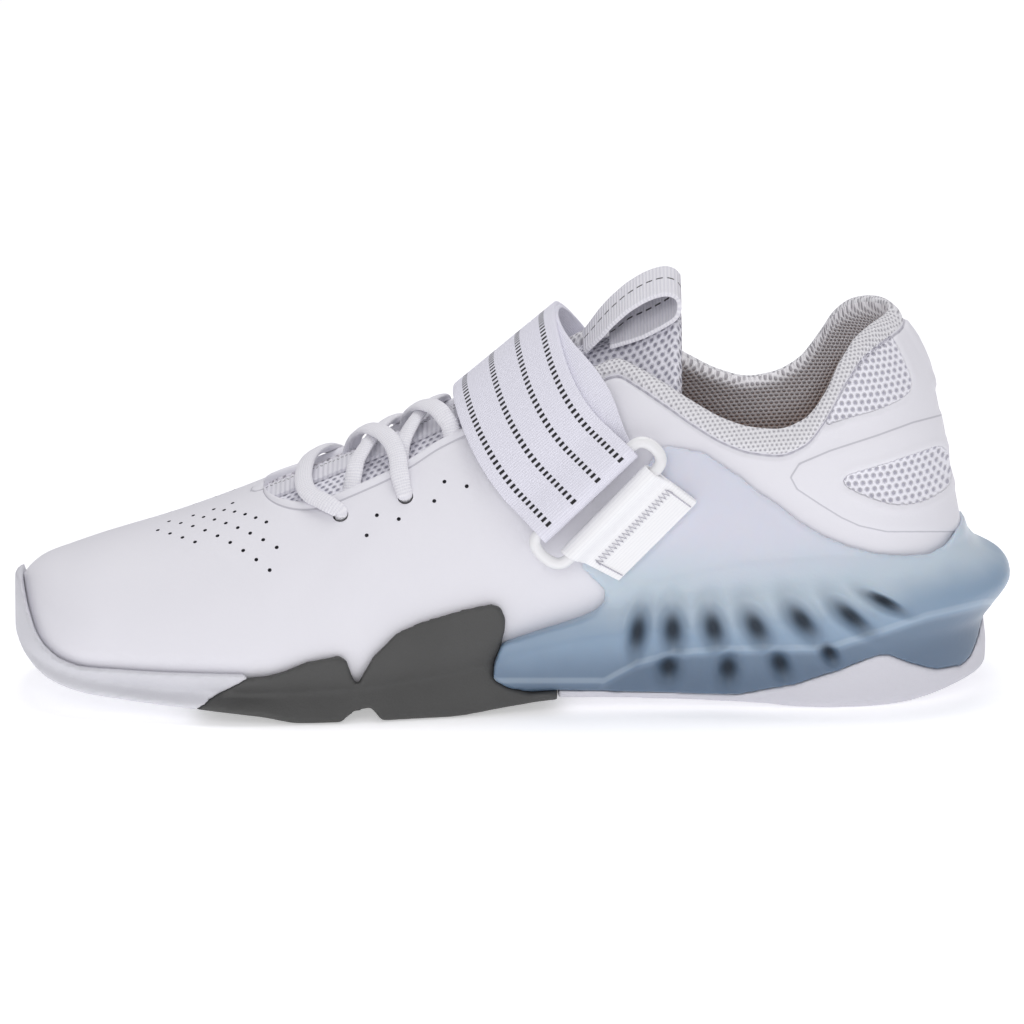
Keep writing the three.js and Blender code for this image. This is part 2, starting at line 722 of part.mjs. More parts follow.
// Outsole of the forefoot: flanges up both sides and a flex notch across the ground.
function makeForefoot() {
  const gap = pieceGap / lastLength;
  const joint = toeJoint.map((row) => ({ at: row.at - gap * 1.6, height: row.height }));
  const front = clipFront.map((row) => ({ at: row.at, height: row.height }));
  const outline = sideOutline([
    ...joint.reverse(),
    ...forefootProfile,
    ...front,
    { at: 0.431, height: -0.1 },
    ...groundNotch,
  ]);
  return frontShell().intersect(sidePrism(outline, -wide, wide)).subtract(lastSolid(pieceGap));
}

// Outsole of the heel: white rubber with a peak on each side and a short upturn at the back.
function makeHeel() {
  const gap = pieceGap / lastLength;
  const rows = heelBoundary.map((row, i) => (i === 0 ? { ...row, at: row.at - gap } : row));
  const outline = sideOutline([
    ...rows,
    { at: -0.06, height: -0.1 },
    { at: 0.431 - gap, height: -0.1 },
  ]);
  return rearShell().intersect(sidePrism(outline, -wide, wide)).subtract(lastSolid(pieceGap));
}

function pocketCutter() {
  const sides = 8;
  const cutters = [];
  for (const row of pockets) {
    const x = atX(row.at);
    const z = row.height * heelLift;
    const tilt = (row.tilt * Math.PI) / 180;
    const outline = [];
    for (let k = 0; k < sides; k++) {
      const angle = (2 * Math.PI * k) / sides;
      const along = (row.tall / 2) * Math.sin(angle);
      const across = (row.wide / 2) * Math.cos(angle);
      outline.push([
        x + across * Math.cos(tilt) - along * Math.sin(tilt),
        z + along * Math.cos(tilt) + across * Math.sin(tilt),
      ]);
    }
    for (const side of [-1, 1]) {
      const edge = ballWidth * (side < 0 ? medialOf(row.at) : lateralOf(row.at)) + lipFlare * 0.7;
      const inner = side * (edge - pocketDepth);
      const outer = side * (edge + lipFlare);
      cutters.push(sidePrism(outline, Math.min(inner, outer), Math.max(inner, outer)));
    }
  }
  return cutters.reduce((a, b) => a.add(b));
}

// Heel clip: the translucent wedge under the heel, its lip, ribs and the wings up both sides.
function makeClip() {
  const gap = pieceGap / lastLength;
  const lift = pieceGap / heelLift;
  const front = clipFront
    .filter((row) => row.height < 0.75)
    .map((row) => ({ at: row.at - gap, height: row.height + lift * 0.7 }));
  const base = heelBoundary.map((row) => ({ at: row.at, height: row.height + lift }));
  const outline = sideOutline([...front, ...base.slice(1), ...clipTop]);
  const prism = sidePrism(outline, -wide, wide);
  const wing = lastSolid(pieceGap + clipWall);
  return rearShell()
    .add(wing.subtract(sidePrism(belowWing(), -wide, wide)))
    .intersect(prism)
    .subtract(lastSolid(pieceGap))
    .subtract(pocketCutter());
}

// The wings reach down only to the rear sole's waist.
function belowWing() {
  return sideOutline([
    { at: -0.1, height: -0.5 },
    { at: -0.1, height: 1.2 },
    { at: 0.1, height: 1.3 },
    { at: 0.35, height: 0.95 },
    { at: 0.56, height: 0.3 },
    { at: 0.56, height: -0.5 },
  ]);
}

// A place between two edges in side view: across goes from front to rear, share from edge to edge.
function betweenBars(from, to, across, share) {
  const along = (edge, key) => mix(edge.front[key], edge.rear[key], across);
  return {
    at: mix(along(from, "at"), along(to, "at"), share),
    z: instepHeight * mix(along(from, "height"), along(to, "height"), share),
  };
}

// A place on the strap's path: share runs from crest to end, across from front to rear edge.
function strapPoint(end, share, across, side, offset) {
  const crest = betweenBars(strapCrest, strapCrest, across, 0);
  const lift = crest.z - instepHeight * crownOf(crest.at);
  const spot = betweenBars(strapCrest, end, across, share);
  return lastPoint(spot.at, spot.z + offset * (1 - share), side, offset, lift * (1 - share * 0.5));
}

// One layer of the strap from the medial fold over the crest to a lateral end.
function strapLayer(lower, upper, shift, lateralShare) {
  const steps = 6;
  const across = 3;
  const rows = [];
  const row = (end, share, side) => {
    const pairs = [];
    for (let j = 0; j <= across; j++) {
      const b = j / across + shift;
      pairs.push({
        outer: strapPoint(end, share, b, side, upper),
        inner: strapPoint(end, share, b, side, lower),
      });
    }
    rows.push(pairs);
  };
  for (let i = steps; i >= 0; i--) row(strapFold, Math.pow(i / steps, 1.8), -1);
  for (let i = 1; i <= steps; i++) row(strapAnchor, Math.pow(i / steps, 1.8) * lateralShare, 1);
  return patch(rows);
}

// A sleeve of folded tape along one bar of the ring.
function barLine(bar, inset, offset) {
  const path = [];
  for (const share of [inset, 0.5, 1 - inset]) {
    const spot = betweenBars(bar, bar, share, 0);
    path.push(lastPoint(spot.at, spot.z, -1, offset));
  }
  return path;
}

const overWing = pieceGap + clipWall + pieceGap; // what lies over the wing starts here
const barOffset = overWing + webbing + ringHole / 2;
const sideways = [vec(0, -1, 0), vec(0, -1, 0), vec(0, -1, 0)];

function sleeve(bar, inset) {
  const path = barLine(bar, inset, barOffset);
  const outside = ringHole + 2 * webbing;
  return sweep(path, sideways, outside, outside, 10);
}

function sleeveBore(bar) {
  return sweep(barLine(bar, -0.1, barOffset), sideways, ringHole, ringHole, 8);
}

// Instep strap: anchored on the lateral side, through the ring and folded back on itself.
function makeStrap() {
  const under = strapLayer(overWing, overWing + webbing, strapUnderShift, 1);
  const over = strapLayer(overWing + webbing * 0.9, overWing + webbing * 2, 0, strapFreeEnd);
  const folded = under.add(over).add(sleeve(strapFold, 0.03));
  return folded.subtract(sleeveBore(strapFold)).subtract(lastSolid(pieceGap));
}

// Ring: a white loop whose upper bar holds the strap and whose lower bar holds the tab.
function makeRing() {
  const place = (bar, share) => {
    const spot = betweenBars(bar, bar, share, 0);
    return lastPoint(spot.at, spot.z, -1, barOffset);
  };
  const path = [];
  for (const share of [-0.05, 0.25, 0.5, 0.75, 1.05]) path.push(place(strapFold, share));
  path.push(place(strapFold, 1.09).lerp(place(ringLower, 1.09), 0.5));
  for (const share of [1.05, 0.75, 0.5, 0.25, -0.05]) path.push(place(ringLower, share));
  path.push(place(strapFold, -0.09).lerp(place(ringLower, -0.09), 0.5));
  return sweep(path, path.map(() => vec(0, -1, 0)), ringBar, ringBar, 8, true);
}

// Tab: tape folded round the ring's lower bar and stitched down over the wing.
function makeTab() {
  const low = overWing;
  const steps = 4;
  const rows = [];
  for (let i = 0; i <= steps; i++) {
    const pairs = [];
    for (let j = 0; j <= 3; j++) {
      const spot = betweenBars(ringLower, tabEnd, mix(0.04, 0.96, j / 3), i / steps);
      pairs.push({
        outer: lastPoint(spot.at, spot.z, -1, low + webbing * 1.6),
        inner: lastPoint(spot.at, spot.z, -1, low),
      });
    }
    rows.push(pairs);
  }
  return patch(rows).add(sleeve(ringLower, 0.03)).subtract(sleeveBore(ringLower));
}

// Laces: a bar across the toe end and crossings up to the strap, joined to one solid.
function makeLaces() {
  const lie = laceThickness / 2 + pieceGap;
  const spot = (row, side) => {
    const y = ballWidth * ridgeOf(row.at) + side * (throatHalfWidth + laceWidth * 0.9);
    return { at: row.at, y };
  };
  const strand = (from, to, hump, bow = 0) => {
    const path = [];
    const ups = [];
    const steps = 8;
    for (let i = 0; i <= steps; i++) {
      const share = i / steps;
      const arch = Math.sin(Math.PI * share);
      const at = mix(from.at, to.at, share) + bow * arch;
      const y = mix(from.y, to.y, share);
      const point = topPoint(at, y, lie + hump * arch);
      const beside = topPoint(at, y + 1, lie);
      const ahead = topPoint(at - 0.004, y, lie);
      const here = topPoint(at, y, lie);
      path.push(point);
      ups.push(ahead.sub(here).cross(beside.sub(here)).normalize());
    }
    return sweep(path, ups, laceWidth, laceThickness, 6);
  };
  const pieces = [strand(spot(eyelets[0], -1), spot(eyelets[0], 1), 0, laceBow)];
  for (let i = 0; i + 1 < eyelets.length; i++) {
    pieces.push(strand(spot(eyelets[i], -1), spot(eyelets[i + 1], 1), 1));
    pieces.push(strand(spot(eyelets[i], 1), spot(eyelets[i + 1], -1), 2));
  }
  return pieces.reduce((a, b) => a.add(b));
}

// Pull loop: tape standing on the tongue's top, a teardrop in side view, pinched at its front.
function makeLoop() {
  const points = loopOutline.map((row) => vec(atX(row.at), 0, row.height * instepHeight));
  const centre = points.reduce((sum, p) => sum.add(p), vec(0, 0, 0)).divideScalar(points.length);
  const ridge = ballWidth * ridgeOf(loopOutline[0].at);
  const rings = points.map((p, i) => {
    const toCentre = centre.clone().sub(p).normalize();
    const before = points[(i + points.length - 1) % points.length];
    const after = points[(i + 1) % points.length];
    const inward = after.clone().sub(before).cross(vec(0, 1, 0)).normalize();
    if (inward.dot(toCentre) < 0) inward.negate();
    const inner = i === 0 ? toCentre.multiplyScalar(webbing * 3) : inward.multiplyScalar(webbing);
    const corner = (base, side) => vec(base.x, ridge + (side * loopWidth) / 2, base.z);
    const inside = p.clone().add(inner);
    return [corner(p, -1), corner(p, 1), corner(inside, 1), corner(inside, -1)];
  });
  return loft(rings, { joined: true }).subtract(lastSolid(-upperWall));
}

// Webbing strip down the middle of the tongue, under the laces.
function makeStrip() {
  const low = -upperWall;
  const rows = [];
  const steps = 7;
  for (let i = 0; i <= steps; i++) {
    const at = mix(0.765, 0.47, i / steps);
    const row = [];
    for (let j = 0; j <= 2; j++) {
      const y = ballWidth * ridgeOf(at) + mix(-0.5, 0.5, j / 2) * webbingStripWidth;
      row.push({ outer: topPoint(at, y, low + 1.2), inner: topPoint(at, y, low) });
    }
    rows.push(row);
  }
  return patch(rows);
}

const shoe = new THREE.Group();

function addPiece(name, solid, color, roughness) {
  const mesh = solid.getMesh();
  const geometry = new THREE.BufferGeometry();
  geometry.setAttribute("position", new THREE.BufferAttribute(new Float32Array(mesh.vertProperties), 3));
  geometry.setIndex(new THREE.BufferAttribute(new Uint32Array(mesh.triVerts), 1));
  geometry.computeVertexNormals();
  const piece = new THREE.Mesh(geometry, new THREE.MeshStandardMaterial({ color, roughness, metalness: 0 }));
  piece.name = name;
  shoe.add(piece);
}

addPiece("outsole_toe", makeToe(), 0xd4d7da, 0.75);
addPiece("outsole_forefoot", makeForefoot(), 0x4b4b49, 0.8);
addPiece("outsole_heel", makeHeel(), 0xd9d8de, 0.7);
addPiece("heel_clip", makeClip(), 0x8fa3b8, 0.3);
addPiece("upper", makeUpper(), 0xe2e1e6, 0.6);
addPiece("tongue", makeTongue(), 0xe4e3e8, 0.9);
addPiece("insole", makeInsole(), 0xb07a4e, 0.9);
addPiece("strap", makeStrap(), 0xe6e5f0, 0.85);
addPiece("strap_ring", makeRing(), 0xf0f0f2, 0.35);
addPiece("ring_tab", makeTab(), 0xecebf2, 0.85);
addPiece("laces", makeLaces(), 0xf1f0f4, 0.9);
addPiece("pull_loop", makeLoop(), 0xe9e8ef, 0.85);
addPiece("tongue_webbing", makeStrip(), 0xdcdbe2, 0.9);

export default shoe;
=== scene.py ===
import math

import bpy
import numpy as np
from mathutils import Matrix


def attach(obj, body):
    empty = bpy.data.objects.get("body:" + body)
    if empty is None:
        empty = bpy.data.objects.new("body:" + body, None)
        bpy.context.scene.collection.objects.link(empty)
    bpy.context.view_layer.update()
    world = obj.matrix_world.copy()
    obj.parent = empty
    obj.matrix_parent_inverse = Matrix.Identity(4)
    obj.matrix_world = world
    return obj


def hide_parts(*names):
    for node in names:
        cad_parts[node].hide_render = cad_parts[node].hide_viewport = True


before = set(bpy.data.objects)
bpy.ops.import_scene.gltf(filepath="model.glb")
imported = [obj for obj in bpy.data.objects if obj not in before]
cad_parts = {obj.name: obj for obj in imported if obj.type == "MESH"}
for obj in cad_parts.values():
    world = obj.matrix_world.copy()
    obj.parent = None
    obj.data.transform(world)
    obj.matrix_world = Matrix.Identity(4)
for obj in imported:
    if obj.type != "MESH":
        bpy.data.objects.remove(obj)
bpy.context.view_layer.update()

# The last, which every wall of the shoe follows, and the upper that is drawn over it.
# The upper is one piece of smooth white synthetic leather with a mesh window near the collar and one
# at the heel, a foam collar under a knitted binding, and a spacer-mesh lining.
MM = 0.001
LAST_LENGTH = 288.0
HEEL_BACK = 34.0
HEEL_ROUND = 42.0
TOE_ROUND = 26.0
BALL_WIDTH = 101.0
INSTEP_HEIGHT = 118.0
HEEL_LIFT = 31.0
BACK_HEIGHT = 122.0
HEEL_LEAN = 25.0

# at, medial edge, lateral edge, ridge, floor, crown, fullness: shares of the sizes above.
LAST_SECTIONS = (
    (0, 0.337, 0.342, 0, 1.016, 1.12, 3.4),
    (0.147, 0.339, 0.352, 0, 0.994, 1.11, 3.5),
    (0.224, 0.342, 0.381, -0.01, 0.95, 1.06, 3.7),
    (0.304, 0.342, 0.426, -0.02, 0.852, 1, 4.2),
    (0.346, 0.345, 0.446, -0.02, 0.787, 0.966, 4.6),
    (0.395, 0.354, 0.475, -0.02, 0.69, 0.928, 4.2),
    (0.448, 0.366, 0.5, -0.02, 0.59, 0.868, 3.5),
    (0.493, 0.386, 0.519, -0.02, 0.5, 0.805, 3),
    (0.573, 0.426, 0.535, -0.02, 0.381, 0.705, 2.6),
    (0.661, 0.469, 0.525, -0.02, 0.316, 0.61, 2.4),
    (0.748, 0.485, 0.465, -0.03, 0.306, 0.526, 2.3),
    (0.836, 0.465, 0.376, -0.05, 0.348, 0.452, 2.3),
    (0.906, 0.43, 0.29, -0.065, 0.394, 0.404, 2.5),
    (0.951, 0.415, 0.257, -0.075, 0.458, 0.369, 2.7),
    (0.977, 0.41, 0.252, -0.079, 0.53, 0.348, 2.8),
    (0.993, 0.408, 0.25, -0.079, 0.6, 0.322, 2.8),
    (1, 0.408, 0.25, -0.079, 0.65, 0.302, 2.8),
)
# share of the way up the heel's back, share of the heel's lean
HEEL_CURVE = (
    (-0.1, 0.08), (0.15, 0), (0.34, 0.1), (0.57, 0.25), (0.73, 0.38), (0.85, 0.56), (0.95, 0.84),
    (1.05, 1.16),
)


def curve(rows):
    """A smooth line through rows of two numbers, without overshoot."""
    xs, ys = (np.array(column, float) for column in zip(*rows))
    steps = np.diff(ys) / np.diff(xs)
    product = steps[:-1] * steps[1:]
    total = np.where(product > 0, steps[:-1] + steps[1:], 1)
    slopes = np.concatenate([steps[:1], np.where(product > 0, 2 * product / total, 0), steps[-1:]])

    def at(x):
        x = np.clip(np.asarray(x, float), xs[0], xs[-1])
        i = np.clip(np.searchsorted(xs, x, side="right") - 1, 0, len(xs) - 2)
        width = xs[i + 1] - xs[i]
        u = (x - xs[i]) / width
        rise = u * u * (3 - 2 * u)
        bend = u * (1 - u) * width * ((1 - u) * slopes[i] - u * slopes[i + 1])
        return ys[i] + (ys[i + 1] - ys[i]) * rise + bend

    return at


medial_edge, lateral_edge, ridge_line, floor_line, crown_line, fullness_of = (
    curve([(row[0], row[k]) for row in LAST_SECTIONS]) for k in range(1, 7)
)
lean_of = curve(HEEL_CURVE)


def along(at):
    """Where a share of the last's length lies on X."""
    return HEEL_BACK - at * LAST_LENGTH


def ramp(value, low, high):
    """0 below low, 1 above high and smooth in between."""
    share = np.clip((value - low) / (high - low), 0, 1)
    return share * share * (3 - 2 * share)


def section(at, offset):
    """One section of the last, grown by an offset: x, medial, lateral, ridge, floor, crown, fullness."""
    nominal = along(at)
    into = np.clip((nominal - HEEL_BACK + HEEL_ROUND) / HEEL_ROUND, 0, 1)
    toe_share = np.clip(1 - (1 - at) * LAST_LENGTH / TOE_ROUND, 0, 1)
    close = np.sqrt(1 - np.maximum(into, toe_share) ** 2.3)
    centre = BALL_WIDTH * (lateral_edge(at) - medial_edge(at)) / 2
    half = (BALL_WIDTH * (lateral_edge(at) + medial_edge(at)) / 2 + offset) * close
    return (
        nominal + offset * into - offset * toe_share,
        centre - half,
        centre + half,
        BALL_WIDTH * ridge_line(at),
        HEEL_LIFT * floor_line(at) - offset,
        INSTEP_HEIGHT * crown_line(at) + offset,
        fullness_of(at),
    )


def width_share(t, fullness):
    tuck = np.where(t < 0.25, 1 - 0.1 * (1 - t / 0.25) ** 2, 1)
    return tuck * np.sqrt(np.maximum(0, 1 - t**fullness))


def leaning(x, z):
    hold = np.clip((x + HEEL_ROUND * 1.4) / (HEEL_BACK + HEEL_ROUND * 1.4), 0, 1)
    return x - HEEL_LEAN * lean_of((z - HEEL_LIFT) / (BACK_HEIGHT - HEEL_LIFT)) * hold * hold


def skin(at, t, side, offset):
    """A point of the last at a share of its height; side is -1 for medial and 1 for lateral."""
    x, medial, lateral, ridge, floor, crown, fullness = section(at, offset)
    z = floor + (crown - floor) * t
    edge = medial if side < 0 else lateral
    y = ridge + (edge - ridge) * width_share(t, fullness)
    return np.stack(np.broadcast_arrays(leaning(x, z), y, z), -1)


def side_point(at, z, side, offset, lift=0.0):
    """A point on the side of the last at a height."""
    x, medial, lateral, ridge, floor, crown, fullness = section(at, offset)
    t = np.clip((z - floor) / (crown + lift - floor), 0, 1)
    edge = medial if side < 0 else lateral
    return np.array([leaning(x, z), ridge + (edge - ridge) * width_share(t, fullness), z], float)


def top_point(at, y, offset):
    """A point on top of the last above a place in plan."""
    x, medial, lateral, ridge, floor, crown, fullness = section(at, offset)
    edge = medial if y < ridge else lateral
    share = np.clip((y - ridge) / (edge - ridge), 0, 0.98)
    t = (1 - share * share) ** (1 / fullness)
    return np.array([x, y, floor + (crown - floor) * t], float)


def mesh_piece(name, points, faces):
    """A piece from points in millimetres."""
    mesh = bpy.data.meshes.new(name)
    mesh.from_pydata([tuple(p) for p in np.asarray(points) * MM], [], faces)
    mesh.update()
    piece = bpy.data.objects.new(name, mesh)
    bpy.context.scene.collection.objects.link(piece)
    return piece


def measured(piece, name, lengths):
    """A UV map in mm from two lengths for each point."""
    layer = piece.data.uv_layers.new(name=name)
    used = np.array([loop.vertex_index for loop in piece.data.loops])
    layer.data.foreach_set("uv", np.asarray(lengths)[used].ravel())


def keep_values(piece, name, values):
    """Keeps a number at each point, for the material to read."""
    piece.data.attributes.new(name, "FLOAT", "POINT").data.foreach_set("value", values)


def choose(piece):
    """Deselects everything else and makes this piece the active one."""
    bpy.ops.object.select_all(action="DESELECT")
    piece.select_set(True)
    bpy.context.view_layer.objects.active = piece


def modify(piece, kind, **settings):
    """Adds a modifier and applies it."""
    choose(piece)
    modifier = piece.modifiers.new(kind.lower(), kind)
    for key, value in settings.items():
        setattr(modifier, key, value)
    bpy.ops.object.modifier_apply(modifier=modifier.name)
    return piece


def tidy_mesh(piece, distance=0.00001):
    """Merges what touches and turns all faces outwards."""
    choose(piece)
    bpy.ops.object.mode_set(mode="EDIT")
    bpy.ops.mesh.select_all(action="SELECT")
    if distance:
        bpy.ops.mesh.remove_doubles(threshold=distance)
    bpy.ops.mesh.normals_make_consistent(inside=False)
    bpy.ops.object.mode_set(mode="OBJECT")
    return piece


def carve(piece, tool, operation="DIFFERENCE"):
    """Cuts a tool out of a piece, joins it or keeps what they share, and removes the tool."""
    modify(piece, "BOOLEAN", object=tool, operation=operation, solver="MANIFOLD")
    bpy.data.objects.remove(tool)
    return piece


def smooth(piece, degrees=40):
    choose(piece)
    bpy.ops.object.shade_smooth_by_angle(angle=math.radians(degrees))
    return piece


WALL = 2.5
COLLAR_PAD = 7.5
THROAT_WALL = 3.2
THROAT_FRONT = 0.744
THROAT_HALF = 21.0
THROAT_BEND = THROAT_FRONT - THROAT_HALF / LAST_LENGTH

# share of the last's length, collar edge's height as a share of the back's height
COLLAR_MEDIAL = (
    (0, 0.984), (0.035, 0.975), (0.075, 0.95), (0.11, 0.895), (0.14, 0.806), (0.165, 0.746), (0.195, 0.722),
    (0.225, 0.729), (0.255, 0.753), (0.287, 0.795), (0.318, 0.84), (0.346, 0.872), (0.37, 0.886),
    (0.4, 0.885),
    (0.46, 1.1),
)
COLLAR_LATERAL = (
    (0, 0.984), (0.035, 0.977), (0.075, 0.958), (0.11, 0.918), (0.14, 0.842), (0.165, 0.776), (0.195, 0.736),
    (0.225, 0.722), (0.255, 0.738), (0.287, 0.776), (0.318, 0.82), (0.346, 0.856), (0.37, 0.876),
    (0.4, 0.879),
    (0.46, 1.1),
)
collar_of = {-1: curve(COLLAR_MEDIAL), 1: curve(COLLAR_LATERAL)}
throat_half_of = {
    -1: curve(((0.3, 0), (0.36, 0.62), (0.4, 0.72), (0.53, 0.71), (0.555, 0.73), (0.583, 0.83), (0.61, 0.91),
               (THROAT_BEND, 1))),
    1: curve(((0.3, 0), (0.36, 0.62), (0.5, 0.95), (THROAT_BEND, 1))),
}

# Places in side view as the camera sees them: x, and height with the tilt of 16 degrees, in mm.
TILT = math.radians(16)
COLLAR_WINDOW = (
    (-10.2, 76.4), (-3.7, 78.8), (5.8, 81.3), (13.8, 84.4), (19.1, 88.7), (15.7, 97.6), (11.4, 105.9),
    (9.2, 107.4), (1.5, 97.3), (-3.7, 86.8),
)
HEEL_WINDOW = (
    (-3.7, 61.3), (-0.9, 62.8), (9.2, 65.6), (19.1, 69), (29.2, 72.4), (31.7, 60.1), (23.4, 54.5),
    (15.7, 53),
    (10.2, 53.4), (2.5, 56.1), (-2.5, 58.5),
)
HEEL_FRAME = (
    (27.5, 80.6), (18.2, 78.2), (7.1, 74.2), (-7.1, 69.6), (-16.6, 65.6), (-19.2, 61.5), (-17.2, 57.9),
    (-10.2, 53.3), (-3.7, 49.3), (1.8, 46.8), (10.2, 45), (18.8, 45),
)
HEEL_TAB = ((16.3, 120), (16.3, 107.8), (24.3, 93.9), (24, 89.5), (60, 89.5), (60, 120))
TOE_ARC = ((-202.2, 39.4), (-196, 38.7), (-191, 36.7), (-189.5, 34.2))


def seen(points):
    """Points in side view as the camera sees them, with the far side as the near one."""
    height = points[..., 2] * math.cos(TILT) - abs(points[..., 1]) * math.sin(TILT)
    return np.stack([points[..., 0], height], -1)


def line_distance(places, line):
    """How far each place lies from a line of points."""
    best = np.full(places.shape[:-1], 1e9)
    for a, b in zip(line, line[1:]):
        a, b = np.array(a), np.array(b)
        share = np.clip(((places - a) @ (b - a)) / ((b - a) @ (b - a)), 0, 1)
        best = np.minimum(best, np.linalg.norm(places - a - share[..., None] * (b - a), axis=-1))
    return best


def rounded(line, times=2):
    """The same closed outline with its corners cut off, so that it is round."""
    line = np.array(line, float)
    for _ in range(times):
        after = np.roll(line, -1, axis=0)
        line = np.stack([line * 0.75 + after * 0.25, line * 0.25 + after * 0.75], 1).reshape(-1, 2)
    return line


def outline_distance(places, outline):
    """Distance to a closed outline, less than 0 inside it."""
    outline = [tuple(p) for p in outline]
    inside = np.zeros(places.shape[:-1], bool)
    for (x1, y1), (x2, y2) in zip(outline, outline[1:] + outline[:1]):
        crosses = (y1 > places[..., 1]) != (y2 > places[..., 1])
        rise = (y2 - y1) if y2 != y1 else 1e-9
        inside ^= crosses & (places[..., 0] < (x2 - x1) * (places[..., 1] - y1) / rise + x1)
    away = line_distance(places, outline + outline[:1])
    return np.where(inside, -away, away)


def bump_at(distance, width):
    return np.exp(-((distance / width) ** 2))


PHI = (math.pi / 2) * np.linspace(0, 1, 241) ** 1.5


def running(line):
    """How far each point of a line lies from its start."""
    return np.concatenate([[0], np.cumsum(np.linalg.norm(np.diff(line, axis=0), axis=1))])


def side_line(at, side):
    """A fine line up one side of a section: shares of the height and lengths from the floor."""
    shares = np.sin(PHI) ** (2 / fullness_of(at))
    points = skin(at, shares, side, 0)
    return shares, running(points)


def wall_edge(at, side, shares, lengths):
    """Length from the floor to the collar's or the throat's edge."""
    if at >= THROAT_FRONT:
        return lengths[-1]
    _, medial, lateral, ridge, floor, crown, fullness = section(at, 0)
    collar = np.interp((BACK_HEIGHT * collar_of[side](at) - floor) / (crown - floor), shares, lengths)
    if at > THROAT_BEND:
        half = THROAT_HALF * math.sqrt(1 - ((at - THROAT_BEND) / (THROAT_FRONT - THROAT_BEND)) ** 2)
    else:
        half = THROAT_HALF * throat_half_of[side](at)
    share = min(0.98, half / abs((medial if side < 0 else lateral) - ridge))
    throat = np.interp((1 - share * share) ** (1 / fullness), shares, lengths)
    gap = max(0, 3 - abs(collar - throat))
    return min(collar, throat) - gap * gap / 12


heel_stations = (HEEL_ROUND / LAST_LENGTH) * (np.arange(0, 60) / 60) ** 2
side_stations = np.linspace(HEEL_ROUND / LAST_LENGTH, 0.709, 130)
bend_stations = THROAT_FRONT - (THROAT_FRONT - 0.709) * (1 - np.arange(1, 15) / 14) ** 2
vamp_stations = np.linspace(THROAT_FRONT, 1 - TOE_ROUND / LAST_LENGTH, 36)[1:]
toe_stations = 1 - (TOE_ROUND / LAST_LENGTH) * (1 - np.arange(1, 41) / 40) ** 2
STATIONS = np.concatenate([heel_stations, side_stations, bend_stations, vamp_stations, toe_stations])

LOW_COLUMNS = 54
EDGE_COLUMNS = 22
EDGE_BAND = 15.0
RIM_COLUMNS = 9
INNER_COLUMNS = 30
BINDING = 5.6
COLLAR_SEAM = BINDING + 2.6
THROAT_SEAM = 3.9


def upper_wall(at, side):
    """One row of the upper's wall from its outer lower edge over the rim to its inner lower edge."""
    shares, lengths = side_line(at, side)
    edge = wall_edge(at, side, shares, lengths)
    collar = 1 - ramp(at, 0.4, 0.45)
    pad = THROAT_WALL + (COLLAR_PAD - THROAT_WALL) * collar
    radius = 0.45 * pad if at < THROAT_FRONT else 0
    start = edge - radius
    band = min(EDGE_BAND, 0.4 * start)
    low = (start - band) * np.arange(LOW_COLUMNS) / LOW_COLUMNS
    high = start - band + band * np.arange(EDGE_COLUMNS + 1) / EDGE_COLUMNS
    outer = np.concatenate([low, high])
    turn = math.pi * np.arange(1, RIM_COLUMNS + 1) / (RIM_COLUMNS + 1)
    inner = start * (1 - np.arange(INNER_COLUMNS + 1) / INNER_COLUMNS) ** 1.15
    depth = WALL + (pad - WALL) * (1 - ramp(start - inner, 8, 34)) if radius else np.full(inner.shape, WALL)
    way = np.concatenate([outer, start + radius * np.sin(turn), inner])
    offset = np.concatenate([np.zeros(outer.shape), -pad / 2 * (1 - np.cos(turn)), -depth])
    from_rim = np.hypot(edge - way, max(0, at - THROAT_FRONT) * LAST_LENGTH) * np.sign(edge - way + 1e-9)
    t = np.interp(way, lengths, shares)
    flat = skin(at, t, side, 0)
    places = seen(flat)
    window = np.minimum(outline_distance(places, COLLAR_ROUND), outline_distance(places, HEEL_ROUND_WINDOW))
    tab = outline_distance(places, HEEL_TAB)
    outside = np.arange(len(way)) <= len(outer) + 3
    relief = 1.1 * collar * bump_at(from_rim - 4.6, 3.2)
    relief -= collar * bump_at(from_rim - COLLAR_SEAM, 0.8)
    relief += -0.55 * (1 - ramp(window, -0.7, 0.3)) + 0.4 * bump_at(window - 1.2, 0.8)
    frame_way = outline_distance(places, [*HEEL_FRAME, (60, 45), (60, 80.6)])
    relief += 0.45 * (1 - ramp(frame_way, -0.9, 0.9))
    relief += 0.9 * (1 - ramp(tab, -0.5, 0.6)) + 0.25 * bump_at(line_distance(places, TOE_ARC), 0.9)
    relief += (1 - collar) * (0.7 * bump_at(from_rim - 1.8, 1.4) - 0.5 * bump_at(from_rim - 4.0, 0.6))
    relief -= 0.7 * bump_at(line_distance(places, FLEX_CREASE), 5)
    relief += 0.2 * bump_at(places[..., 0] + 176, 7)
    offset = offset + np.where(outside, relief, 0)
    return skin(at, t, side, offset), from_rim, window, way, frame_way


COLLAR_ROUND = rounded(COLLAR_WINDOW)
HEEL_ROUND_WINDOW = rounded(HEEL_WINDOW)
FLEX_CREASE = ((-168, 24), (-160, 36), (-152, 47))

